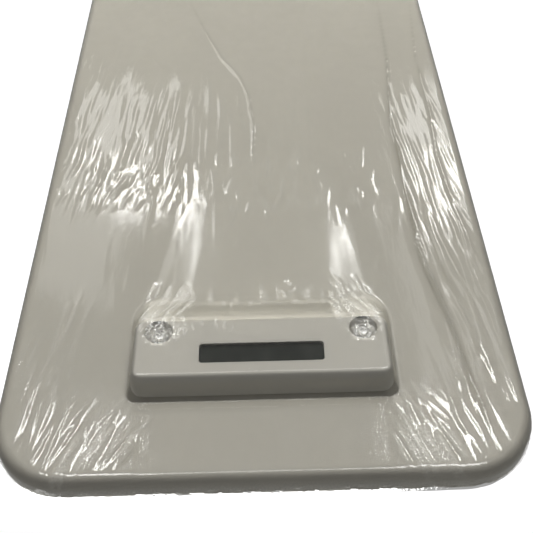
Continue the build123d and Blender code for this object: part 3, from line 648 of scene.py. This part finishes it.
class Sheet:
    """A film laid out flat: a grid of places across and along the panel, and its height and looks there."""

    def __init__(self, across, along, rng):
        self.across, self.along, self.rng = across, along, rng
        self.x, self.z = np.meshgrid(across, along)
        self.height = np.zeros_like(self.x)
        # painted shade along creases, then milkiness with painted white glints on wrinkle crests
        self.fold_shade = np.zeros_like(self.x)
        self.milk_and_glint = np.zeros_like(self.x)

    def noise(self, cell_x, cell_z):
        return lattice_noise(self.x, self.z, cell_x * MM, cell_z * MM, self.rng)

    def window(self, x, z, reach_x, reach_z):
        i0, i1 = np.searchsorted(self.along, (z - reach_z, z + reach_z))
        j0, j1 = np.searchsorted(self.across, (x - reach_x, x + reach_x))
        return slice(i0, i1), slice(j0, j1)

    def fold(self, x, z, lean, length, width, height, bow, white):
        """One long wrinkle. lean is its slant from upright, bow how far its middle is pushed aside.

        white says how white its crest is: milky film, with a painted glint on it."""
        reach_x = abs(lean) * length + 4 * width + abs(bow)
        part = self.window(x, z, reach_x, length * 1.1)
        dx, dz = self.x[part] - x, self.z[part] - z
        share = dz / length
        middle = lean * dz + bow * (1 - share**2)
        form = bell(dx - middle, width) * np.clip(1 - share**2, 0, 1) ** 1.5
        self.height[part] += height * form
        # a white crest: milky film with a painted glint
        self.milk_and_glint[part] = np.maximum(self.milk_and_glint[part], white * form)

    def folds(self, count, x, z, lean, length, width, height, lean_jitter=0.06, white=0.0):
        """Many wrinkles. x, z, length, width and height are ranges in millimetres."""
        smallest, bow = 0.35, 0.4
        draw = self.rng.uniform
        for _ in range(count):
            size = draw(smallest, 1.0)
            self.fold(
                draw(*x) * MM, draw(*z) * MM, lean + self.rng.normal(0, lean_jitter),
                draw(*length) * MM * (0.5 + 0.5 * size), draw(*width) * MM, size * draw(*height) * MM,
                bow=self.rng.normal(0, bow) * MM, white=white * size**2,
            )

    def crease(self, route, width, height, shade_strength=0.55):
        """A sharp crease through a few places, in millimetres, fading out at both ends.

        shade_strength says how dark the painted shade along it is."""
        samples, smoothings, reach = 24, 12, 10 * MM
        line = np.array(route) * MM
        steps = np.linspace(0, len(line) - 1, samples * len(line))
        at = np.arange(len(line))
        xs, zs = np.interp(steps, at, line[:, 0]), np.interp(steps, at, line[:, 1])
        for _ in range(smoothings):
            xs[1:-1] = (xs[:-2] + 2 * xs[1:-1] + xs[2:]) / 4
        near = np.full(self.x.shape, 1.0)
        share = np.zeros(self.x.shape)
        part = slice(*np.searchsorted(self.along, (zs.min() - reach, zs.max() + reach)))
        for k, (x, z) in enumerate(zip(xs, zs)):
            far = np.hypot(self.x[part] - x, self.z[part] - z)
            closer = far < near[part]
            near[part][closer] = far[closer]
            share[part][closer] = k / (len(xs) - 1)
        fade = np.clip(1 - (2 * share - 1) ** 4, 0, 1)
        line_mask = np.exp(-near / (width * MM)) * fade
        self.height += height * MM * line_mask
        # painted shade: the crease darkens what shows through the film
        self.fold_shade = np.maximum(self.fold_shade, shade_strength * line_mask)


# ---- what the film lies on ----
def edge_distance(x, z):
    """How far a flat place is outside the panel's outline."""
    qx = np.abs(x) - (HALF_WIDTH - HEAD_RADIUS)
    qz = z - (HEAD - HEAD_RADIUS)
    corner = np.hypot(np.maximum(qx, 0), np.maximum(qz, 0))
    return corner + np.minimum(np.maximum(qx, qz), 0) - HEAD_RADIUS


def edge_direction(x, z):
    """The outward direction at the outline, in X and Z."""
    qx = np.abs(x) - (HALF_WIDTH - HEAD_RADIUS)
    qz = z - (HEAD - HEAD_RADIUS)
    both = (qx > 0) & (qz > 0)
    length = np.maximum(np.hypot(qx, qz), 1e-9)
    nx = np.where(both, qx / length, np.where(qx > qz, 1.0, 0.0)) * np.sign(x)
    nz = np.where(both, qz / length, np.where(qx > qz, 0.0, 1.0))
    return nx, nz


def cover_height(x, z):
    """The alarm cover's own height over the panel, with its rounded edges, or 0 beside it."""
    qx = np.abs(x) - (COVER_HALF - COVER_CORNER)
    middle = (COVER_TOP + COVER_FOOT) / 2
    qz = np.abs(z - middle) - ((COVER_TOP - COVER_FOOT) / 2 - COVER_CORNER)
    corner = np.hypot(np.maximum(qx, 0), np.maximum(qz, 0))
    inside = COVER_CORNER - corner - np.minimum(np.maximum(qx, qz), 0)
    short = np.clip(1 - inside / BOW_INSET, 0, 1)
    rounded = COVER_HEIGHT - BOW_DEPTH * (1 - np.sqrt(1 - short**2)) ** BOW_FULLNESS
    return np.where(inside > 0, rounded, 0.0)


def slack_height(x, z):
    """The long, shallow tent that runs from the alarm cover's corners towards the foot."""
    length, gap, fade, highest = 185 * MM, 30 * MM, 40 * MM, 4.4 * MM
    start, end = COVER_FOOT - length, COVER_FOOT - gap
    share = np.clip((z - start) / (end - start), 0, 1)
    flat_half = (38 + 12 * share - 6 * np.sign(x) * (1 - share)) * MM
    fall = (24 + 8 * share) * MM
    rise = highest * share**1.35
    past = np.clip((z - end) / fade, 0, 1)
    return rise * (1 - past) * (1 - smooth_step((np.abs(x) - flat_half) / fall))


def tent_height(x, z):
    """Film stretched over the alarm cover: tight at its head and sides, a ramp towards the foot."""
    ramp, skirt, shoulder = 34 * MM, 8 * MM, 5.2 * MM
    spread, widening = 0.3, 0.35
    below = np.maximum(COVER_FOOT + 1.5 * MM - z, 0)
    half = COVER_HALF - shoulder - spread * below
    side = np.maximum(np.abs(x) - half, 0) * ramp / (skirt + widening * below)
    above = np.maximum(z - (COVER_TOP - shoulder), 0) * ramp / skirt
    away = np.hypot(side, below + above)
    straight = (COVER_HEIGHT + 0.35 * MM) * (1 - away / ramp)
    soft = 0.9 * MM
    blended = soft * np.logaddexp(slack_height(x, z) / soft, straight / soft)
    return blended - soft * math.log(2) * (straight < 0)


def from_well(x, z, hand):
    """The distance and the angle of a place from the middle of one screw well."""
    return np.hypot(x - hand * SCREW_X, z - SCREW_Z), np.arctan2(z - SCREW_Z, x - hand * SCREW_X)


def wrapped(x, z, height, edge_round, film_round, face, out):
    """Places of a film in X, Y and Z: flat on the face, then round its edge and down the side.

    out is -1 on the front face and 1 on the rear face."""
    outside = edge_distance(x, z) + edge_round
    nx, nz = edge_direction(x, z)
    over = np.maximum(outside, 0)
    turn = np.clip(over / film_round, 0, QUARTER)
    down = np.maximum(over - film_round * QUARTER, 0)
    radius = edge_round + height
    move_out = np.where(outside > 0, radius * np.sin(turn), 0)
    on_edge = face + out * (radius * np.cos(turn) - edge_round - down)
    place_y = np.where(outside > 0, on_edge, face + out * height)
    return x + nx * (move_out - over), place_y, z + nz * (move_out - over)


# ---- the front film's wrinkles; left is the +X side here, as one sees it from beyond the head ----
def side_streaks(sheet):
    """Slanted streaks on the left, a band of short glints across, and long bowed wrinkles on the right."""
    sheet.folds(
        90, x=(58, 172), z=(1150, 1320), lean=0.1, length=(18, 60), width=(1.2, 2.6), height=(0.15, 0.45)
    )
    sheet.folds(
        170, x=(60, 172), z=(1060, 1270), lean=0.08, length=(14, 50), width=(1.0, 1.9), height=(0.15, 0.38),
        lean_jitter=0.04,
    )
    sheet.folds(
        60, x=(60, 172), z=(1262, 1305), lean=0.2, length=(5, 16), width=(0.9, 1.6), height=(0.25, 0.45),
        lean_jitter=0.12,
    )
    sheet.folds(
        50, x=(84, 142), z=(1262, 1312), lean=0.15, length=(5, 18), width=(1.0, 1.8), height=(0.25, 0.5),
        lean_jitter=0.1,
    )
    # these short wrinkles and the broad ones below get painted white glints on their crests
    sheet.folds(
        120, x=(-95, 100), z=(1255, 1330), lean=0.0, length=(5, 20), width=(0.8, 1.6), height=(0.12, 0.35),
        lean_jitter=0.15, white=0.1,
    )
    sheet.folds(
        50, x=(-60, 60), z=(1150, 1300), lean=0.0, length=(25, 70), width=(1.6, 3.2), height=(0.08, 0.25),
        lean_jitter=0.03, white=0.05,
    )
    sheet.folds(
        26, x=(-150, -112), z=(1200, 1420), lean=-0.09, length=(50, 130), width=(1.4, 3.0),
        height=(0.2, 0.55), lean_jitter=0.05,
    )
    sheet.folds(
        90, x=(-172, -120), z=(1120, 1500), lean=-0.13, length=(18, 60), width=(0.9, 2.2), height=(0.2, 0.6),
        lean_jitter=0.07,
    )


def corner_gathers(sheet):
    """Gathers that fan out from the head's two corners."""
    for hand in (-1, 1):
        corner, side = sorted((hand * 84, hand * 128)), sorted((hand * 128, hand * 168))
        # their crests are painted white: milky film and painted glints
        sheet.folds(
            36, x=corner, z=(1505, 1553), lean=0.45 * hand, length=(8, 30), width=(1.0, 2.2),
            height=(0.25, 0.7), lean_jitter=0.15, white=0.28,
        )
        sheet.folds(
            30, x=side, z=(1430, 1540), lean=0.18 * hand, length=(14, 50), width=(0.9, 2.0),
            height=(0.12, 0.45), white=0.12,
        )


def cover_pleats(sheet):
    """Short pleats where the film leaves the alarm cover, and ticks where it touches the cover's face."""
    # the pleats' crests are painted white: milky film and painted glints
    sheet.folds(
        30, x=(-60, 60), z=(1406, 1428), lean=0.0, length=(5, 14), width=(0.8, 1.3), height=(0.25, 0.6),
        lean_jitter=0.06, white=0.3,
    )
    sheet.folds(
        16, x=(-35, -15), z=(1402, 1428), lean=0.1, length=(3, 8), width=(0.7, 1.2), height=(0.3, 0.7),
        lean_jitter=0.4, white=0.5,
    )
    for hand in (-1, 1):
        sheet.folds(
            60, x=sorted((hand * 50, hand * 82)), z=(1404, 1450), lean=0.28 * hand, length=(7, 20),
            width=(0.7, 1.3), height=(0.4, 1.0), lean_jitter=0.08, white=0.6,
        )
    sheet.folds(
        18, x=(18, 58), z=(1450, 1460), lean=0.05, length=(3, 6), width=(0.7, 1.1), height=(0.2, 0.5),
        white=0.35,
    )
    sheet.folds(
        14, x=(50, 60), z=(1448, 1462), lean=-0.3, length=(4, 9), width=(0.8, 1.6), height=(0.3, 0.7),
        white=0.7,
    )


def scattered_wrinkles(sheet):
    """Small and long wrinkles everywhere, then broad soft strokes on the left and a fan to the right edge."""
    sheet.folds(
        380, ALL_ACROSS, ALL_ALONG, lean=0.0, length=(10, 60), width=(1.2, 3.0), height=(0.06, 0.26),
        lean_jitter=0.1,
    )
    sheet.folds(
        120, ALL_ACROSS, z=(232, 1180), lean=0.0, length=(50, 150), width=(2.0, 5.0), height=(0.1, 0.4),
        lean_jitter=0.05,
    )
    sheet.folds(
        46, x=(66, 170), z=(1085, 1235), lean=0.08, length=(40, 110), width=(2.4, 4.2), height=(0.3, 0.65),
        lean_jitter=0.03,
    )
    sheet.folds(
        70, x=(-168, -124), z=(1290, 1450), lean=-0.22, length=(18, 60), width=(1.0, 2.2), height=(0.12, 0.4),
        lean_jitter=0.05,
    )


def long_creases(sheet):
    """One crease down the middle, and four that run along the right side."""
    middle = [(71, 990), (51, 1054), (33, 1105), (15, 1139), (6, 1174), (3, 1218), (5, 1275)]
    inner = [(-130, 1000), (-127, 1115), (-119, 1205), (-120, 1300), (-121, 1370), (-131, 1420)]
    inner_end = [(-120, 1350), (-124, 1390), (-131, 1420), (-138, 1475), (-147, 1545)]
    beside = [(-117, 1205), (-123, 1250), (-124, 1391), (-136, 1457), (-141, 1530)]
    outer = [(-164, 1000), (-155, 1110), (-156, 1191), (-153, 1252), (-156, 1320), (-167, 1400)]
    # each crease carries a painted shade along it
    sheet.crease(middle, width=0.9, height=1.6)
    sheet.crease(inner, width=1.2, height=1.4, shade_strength=0.8)
    sheet.crease(inner_end, width=1.1, height=1.1, shade_strength=0.75)
    sheet.crease(beside, width=1.0, height=0.9, shade_strength=0.7)
    sheet.crease(outer, width=1.0, height=1.2, shade_strength=0.6)


def front_film_height(sheet):
    """The front film's height over the panel's face, with all its wrinkles."""
    x, z = sheet.x, sheet.z
    sheet.height += 0.2 * MM * (1 + sheet.noise(38, 90))
    sheet.height += 0.05 * MM * (1 + sheet.noise(9, 40))
    side_streaks(sheet)
    corner_gathers(sheet)
    cover_pleats(sheet)
    scattered_wrinkles(sheet)
    long_creases(sheet)
    # it lies on the panel, then rises over the alarm cover, where it is pulled tight
    tent = tent_height(x, z)
    on_cover = np.clip((tent / COVER_HEIGHT - 0.75) / 0.25, 0, 1)
    near_head = np.clip((z - (COVER_TOP - 25 * MM)) / (30 * MM), 0, 1) * (np.abs(x) < 80 * MM)
    height = FILM_GAP + tent + sheet.height * (1 - 0.85 * on_cover) * (1 - 0.6 * near_head)
    solid = cover_height(x, z)
    height = np.maximum(height, np.where(solid > 0, solid + 0.35 * MM, 0))
    # it is crumpled into the screw wells and puckered round their rims
    for hand in (-1, 1):
        far, turn = from_well(x, z, hand)
        crumple = sheet.noise(4.6, 6.5) + 0.3 * sheet.noise(1.9, 2.8)
        pucker = np.cos(7 * turn + 1.3 * hand) + 0.7 * np.cos(13 * turn + hand)
        height += 0.9 * MM * np.abs(crumple) * bell(far, 9 * MM, 4)
        height += 0.3 * MM * pucker * bell(far - 9 * MM, 3.2 * MM)
        height -= 2.6 * MM * bell(far, 8 * MM, 6)
    return height


def front_film_looks(sheet, down):
    """How milky, slack and dark the front film is, from 0 to 1: the milk carries painted white glints and the
    darkness is painted shade. down says how far it is down the side.
    """
    x, z = sheet.x, sheet.z
    milk_and_glint = 0.2 * down + sheet.milk_and_glint
    # two painted highlight patches near the head's corners, white on the film
    for patch_x, patch_z, strength in ((110 * MM, 1538 * MM, 0.2), (-100 * MM, 1540 * MM, 0.24)):
        lean = (x - patch_x) - np.sign(patch_x) * 0.5 * (z - patch_z)
        milk_and_glint += strength * bell(lean, 9 * MM) * bell(z - patch_z, 13 * MM)
    # painted shade over the ramp where the film leaves the alarm cover's foot, darkening what shows through
    # it
    on_ramp = smooth_step((tent_height(x, z) - 3 * MM) / (5 * MM))
    on_ramp *= 1 - smooth_step((z - COVER_FOOT) / (4 * MM))
    fold_shade = np.maximum(sheet.fold_shade, 0.36 * on_ramp)
    for hand in (-1, 1):
        far, turn = from_well(x, z, hand)
        # milky crumples inside each well, brightened as a painted highlight
        milk_and_glint += 0.3 * bell(far, 8.6 * MM, 6)
        # painted shade in dark arcs round each well's rim, darkest at its left and right
        rim = bell(far - 8.8 * MM, 1.3 * MM)
        fold_shade = np.maximum(fold_shade, 0.9 * rim * np.cos(turn) ** 4)
    slack = smooth_step(slack_height(x, z) / (1.2 * MM)) * smooth_step((np.abs(x) - 18 * MM) / (20 * MM))
    return {"milk_and_glint": np.clip(milk_and_glint, 0, 0.8), "slack": slack, "fold_shade": fold_shade}


# ---- the two film pieces ----
def grid_mesh(name, places, keep, looks, material):
    """A mesh of quads over a grid of places, without the places that aren't kept.

    looks holds, by name, values from 0 to 1 at each place, which the film's material reads."""
    rows, columns = places[0].shape
    number = np.full((rows, columns), -1)
    number[keep] = np.arange(int(keep.sum()))
    vertices = np.stack([p[keep] for p in places], axis=1)
    corners = [number[:-1, :-1], number[:-1, 1:], number[1:, 1:], number[1:, :-1]]
    faces = np.stack(corners, axis=-1).reshape(-1, 4)
    faces = faces[(faces >= 0).all(axis=1)]
    mesh = bpy.data.meshes.new(name)
    mesh.from_pydata(vertices.tolist(), [], faces.tolist())
    mesh.materials.append(material)
    mesh.polygons.foreach_set("use_smooth", [True] * len(mesh.polygons))
    for key, values in looks.items():
        mesh.attributes.new(key, "FLOAT", "POINT").data.foreach_set("value", values[keep])
    thing = bpy.data.objects.new(name, mesh)
    bpy.context.scene.collection.objects.link(thing)
    return thing


def front_film(material):
    """The front half of the wrap, which ends in a ragged hem down the panel's side."""
    wrap = FRONT_FILM_ROUND * QUARTER + FRONT_WRAP
    edge = HALF_WIDTH - FRONT_ROUND + wrap
    head_edge = HEAD - FRONT_ROUND + wrap
    margin, middle = 4 * MM, COVER_HALF - 3 * MM
    outer = COVER_HALF + margin
    across = spaced(-edge, [
        (-outer, 1.4 * MM), (-middle, 0.6 * MM), (middle, 1.15 * MM), (outer, 0.6 * MM), (edge, 1.4 * MM),
    ])
    along = spaced(FILM_FOOT, [
        (980 * MM, 6 * MM), (1150 * MM, 2.6 * MM), (1385 * MM, 1.7 * MM), (COVER_TOP - 3 * MM, 1.15 * MM),
        (COVER_TOP + margin, 0.45 * MM), (head_edge, 1.5 * MM),
    ])
    sheet = Sheet(across, along, np.random.default_rng(41))
    height = front_film_height(sheet)
    x, z = sheet.x, sheet.z
    outside = edge_distance(x, z) + FRONT_ROUND
    down = np.clip((outside - FRONT_FILM_ROUND) / (8 * MM), 0, 1)
    height = height * (1 - 0.75 * np.clip(outside / (4 * MM), 0, 1)) + FILM_GAP * 0.5
    height += 0.35 * MM * (np.abs(sheet.noise(3, 3)) + np.abs(sheet.noise(1.5, 1.5))) * down
    keep = outside < wrap + 0.8 * MM * sheet.noise(9, 9)
    places = wrapped(x, z, height, FRONT_ROUND, FRONT_FILM_ROUND, FRONT, -1)
    thing = grid_mesh("film_front", places, keep, front_film_looks(sheet, down), material)
    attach(thing, "gate")
    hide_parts("protective_film")
    return thing


def rear_film(material):
    """The rear half of the wrap: it turns the rear edge and ends in a crumpled lip outside the front half."""
    wrap = REAR_FILM_ROUND * QUARTER + REAR_WRAP
    edge = HALF_WIDTH - REAR_ROUND + wrap
    head = HEAD - REAR_ROUND + wrap
    across = np.linspace(-edge, edge, int(2 * edge / (2.2 * MM)))
    along = spaced(FILM_FOOT, [(1000 * MM, 6 * MM), (head - 60 * MM, 4 * MM), (head, 1.6 * MM)])
    sheet = Sheet(across, along, np.random.default_rng(43))
    x, z = sheet.x, sheet.z
    sheet.height += 0.4 * MM * (1 + sheet.noise(34, 80))
    sheet.folds(
        420, ALL_ACROSS, ALL_ALONG, lean=0.0, length=(14, 90), width=(1.6, 4.0), height=(0.15, 0.7),
        lean_jitter=0.14,
    )
    sheet.folds(120, ALL_ACROSS, ALL_ALONG, lean=0.0, length=(60, 190), width=(2.4, 5.5), height=(0.3, 1.1))
    outside = edge_distance(x, z) + REAR_ROUND
    height = FILM_GAP + sheet.height * (1 - 0.6 * np.clip(outside / (3 * MM), 0, 1))
    lip = np.clip((np.maximum(outside, 0) - REAR_FILM_ROUND) / (6 * MM), 0, 1)
    crumple = sheet.noise(4, 4) + 0.7 * sheet.noise(1.9, 1.9)
    height += 0.8 * MM * lip * (0.5 + 0.7 * np.abs(crumple))
    keep = outside < wrap + 0.7 * MM * sheet.noise(6, 6)
    places = wrapped(x, z, height, REAR_ROUND, REAR_FILM_ROUND, REAR, 1)
    thing = grid_mesh("film_rear", places, keep, {"milk_and_glint": 0.45 * lip}, material)
    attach(thing, "gate")
    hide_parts("protective_film")
    return thing


# ---- stage ----
def add_floor(material):
    """A pale floor that curves up into a wall all round."""
    flat_radius, bend, wall_top = 11.0, 3.0, 16.0
    bend_steps, turns = 16, 128
    outline = [(flat_radius, 0)]
    for k in range(1, bend_steps + 1):
        turn = math.radians(90 * k / bend_steps)
        outline.append((flat_radius + bend * math.sin(turn), bend * (1 - math.cos(turn))))
    outline.append((flat_radius + bend, wall_top))
    angles = [2 * math.pi * k / turns for k in range(turns)]
    bm = bmesh.new()
    rings = []
    for radius, height in outline:
        rings.append([bm.verts.new((radius * math.cos(a), radius * math.sin(a), height)) for a in angles])
    strips(bm, rings)
    bm.faces.new(rings[0])
    bmesh.ops.recalc_face_normals(bm, faces=bm.faces)
    mesh = bpy.data.meshes.new("floor")
    bm.to_mesh(mesh)
    bm.free()
    mesh.materials.append(material)
    floor = bpy.data.objects.new("floor", mesh)
    bpy.context.scene.collection.objects.link(floor)
    floor.visible_diffuse = False
    floor.visible_glossy = False
    floor.visible_shadow = False


def add_light(name, place, towards, size, radiance, glossy=True, diffuse=True):
    """A rectangular soft lamp. radiance is how bright its face looks, whatever its size."""
    data = bpy.data.lights.new(name, "AREA")
    data.shape = "RECTANGLE"
    data.size, data.size_y = size
    data.energy = 4 * radiance * size[0] * size[1]
    lamp = bpy.data.objects.new(name, data)
    lamp.location = place
    lamp.rotation_euler = (Vector(towards) - Vector(place)).to_track_quat("-Z", "Y").to_euler()
    lamp.visible_camera = False
    lamp.visible_glossy = glossy
    lamp.visible_diffuse = diffuse
    bpy.context.scene.collection.objects.link(lamp)


def add_lights():
    """Broad lamps that light the gate, and small ones in front of it, low down, for the film to mirror."""
    head = (0, 0, 1.35)
    add_light("key", (0, -3.0, 0.9), head, (3.0, 1.6), 2.15, glossy=False)
    add_light("low_fill", (0, -1.3, 0.012), (0, -1.3, 1), (2.6, 1.6), 4.3, glossy=False)
    add_light("back_fill", (0.6, 3.0, 1.6), (0, 0, 0.8), (2.4, 2.4), 1.0)
    add_light("low_left", (0.38, -1.0, 0.03), head, (0.3, 0.36), 1.9)
    add_light("low_right", (-0.56, -1.06, 0.03), head, (0.3, 0.46), 2.8)
    add_light("low_left_bright", (0.34, -1.12, 0.05), head, (0.14, 0.14), 9.0)
    add_light("low_right_bright", (-0.52, -1.12, 0.05), head, (0.14, 0.2), 8.5)
    add_light("far_left", (0.72, -2.64, 0.03), head, (0.16, 0.36), 16.0, diffuse=False)
    add_light("far_right", (-0.66, -2.6, 0.03), head, (0.16, 0.36), 22.0, diffuse=False)
    add_light("beyond_left", (0.58, -1.38, 0.03), head, (0.3, 0.3), 1.0)
    add_light("beyond_right", (-0.6, -1.58, 0.03), head, (0.3, 0.6), 0.8)
    high, ahead = 1.5, -4.0
    for side in (-1, 1):
        place = (side * 1.15, ahead, high)
        add_light(f"ahead_{side + 1}", place, (0, 0, high), (1.0, 1.0), 9.0, diffuse=False)
    add_light("ahead", (0, ahead, high), (0, 0, high), (1.3, 0.6), 3.0, diffuse=False)
    world = bpy.data.worlds.new("world")
    world.use_nodes = True
    background = world.node_tree.nodes["Background"]
    background.inputs["Color"].default_value = (1, 1, 1, 1)
    background.inputs["Strength"].default_value = 0.36
    bpy.context.scene.world = world


# ---- everything ----
def make_materials():
    """One material for each material slot of the record."""
    # the alarm cover's grey is the panel's made lighter: a slightly different plastic, and painted light that
    # brightens the box top
    grey, pale = (0.49, 0.468, 0.408), (0.55, 0.53, 0.475)
    return {
        "panel_plastic": moulded_plastic("panel_plastic", grey),
        "alarm_plastic": moulded_plastic("alarm_plastic", pale, grain=1900, depth=0.04, rough=0.42),
        "lens_tint": dark_lens(),
        "clear_film": clear_film(),
        "plinth_plastic": moulded_plastic("plinth_plastic", shade(grey, 0.97), grain=1000, depth=0.12),
        "zinc_steel": metal("zinc_steel", (0.62, 0.62, 0.6), 0.28),
        "galvanised": metal("galvanised", (0.5, 0.51, 0.52), 0.42, blotch=0.25),
        "black_rubber": rubber("black_rubber", (0.02, 0.02, 0.02)),
        "foam": rubber("foam", (0.05, 0.05, 0.055), pores=900, rough=0.9),
        "white_plastic": moulded_plastic("white_plastic", (0.75, 0.74, 0.7), grain=900, depth=0.03),
        "copper_wire": gloss_plastic("copper_wire", (0.35, 0.04, 0.02)),
        "lead_jacket": rubber("lead_jacket", (0.025, 0.025, 0.027), pores=1500, rough=0.6),
        "circuit_board": circuit_board(),
        "black_plastic": moulded_plastic("black_plastic", (0.02, 0.02, 0.022), grain=1200, depth=0.05),
        "terminal_green": moulded_plastic("terminal_green", (0.02, 0.22, 0.08), grain=1500, depth=0.03),
        "led_red": gloss_plastic("led_red", (0.5, 0.02, 0.01), 0.15),
        "brass_insert": metal("brass_insert", (0.7, 0.5, 0.2), 0.3),
        "ferrite": gloss_plastic("ferrite", (0.28, 0.05, 0.02), 0.3),
        "capacitor_sleeve": gloss_plastic("capacitor_sleeve", (0.02, 0.03, 0.1), 0.3),
        "heat_sink_metal": metal("heat_sink_metal", (0.05, 0.05, 0.055), 0.45),
        "glass_fuse": gloss_plastic("glass_fuse", (0.7, 0.72, 0.7), 0.12),
        "knob_plastic": moulded_plastic("knob_plastic", (0.62, 0.58, 0.46), grain=1500, depth=0.03),
        "button_red": moulded_plastic("button_red", (0.42, 0.02, 0.015), grain=1500, depth=0.03),
    }


bpy.context.scene.view_settings.view_transform = "Standard"
add_camera()
materials = make_materials()
for part in frame["record"]["subparts"]:
    cad = nodes[part["node"]]
    cad.data.materials.clear()
    cad.data.materials.append(materials[part["material_slot"]])

add_floor(pale_floor())
add_lights()
front_shell(materials["panel_plastic"])
rear_shell(materials["panel_plastic"])
alarm_cover(materials["alarm_plastic"])
front_film(materials["clear_film"])
rear_film(materials["clear_film"])
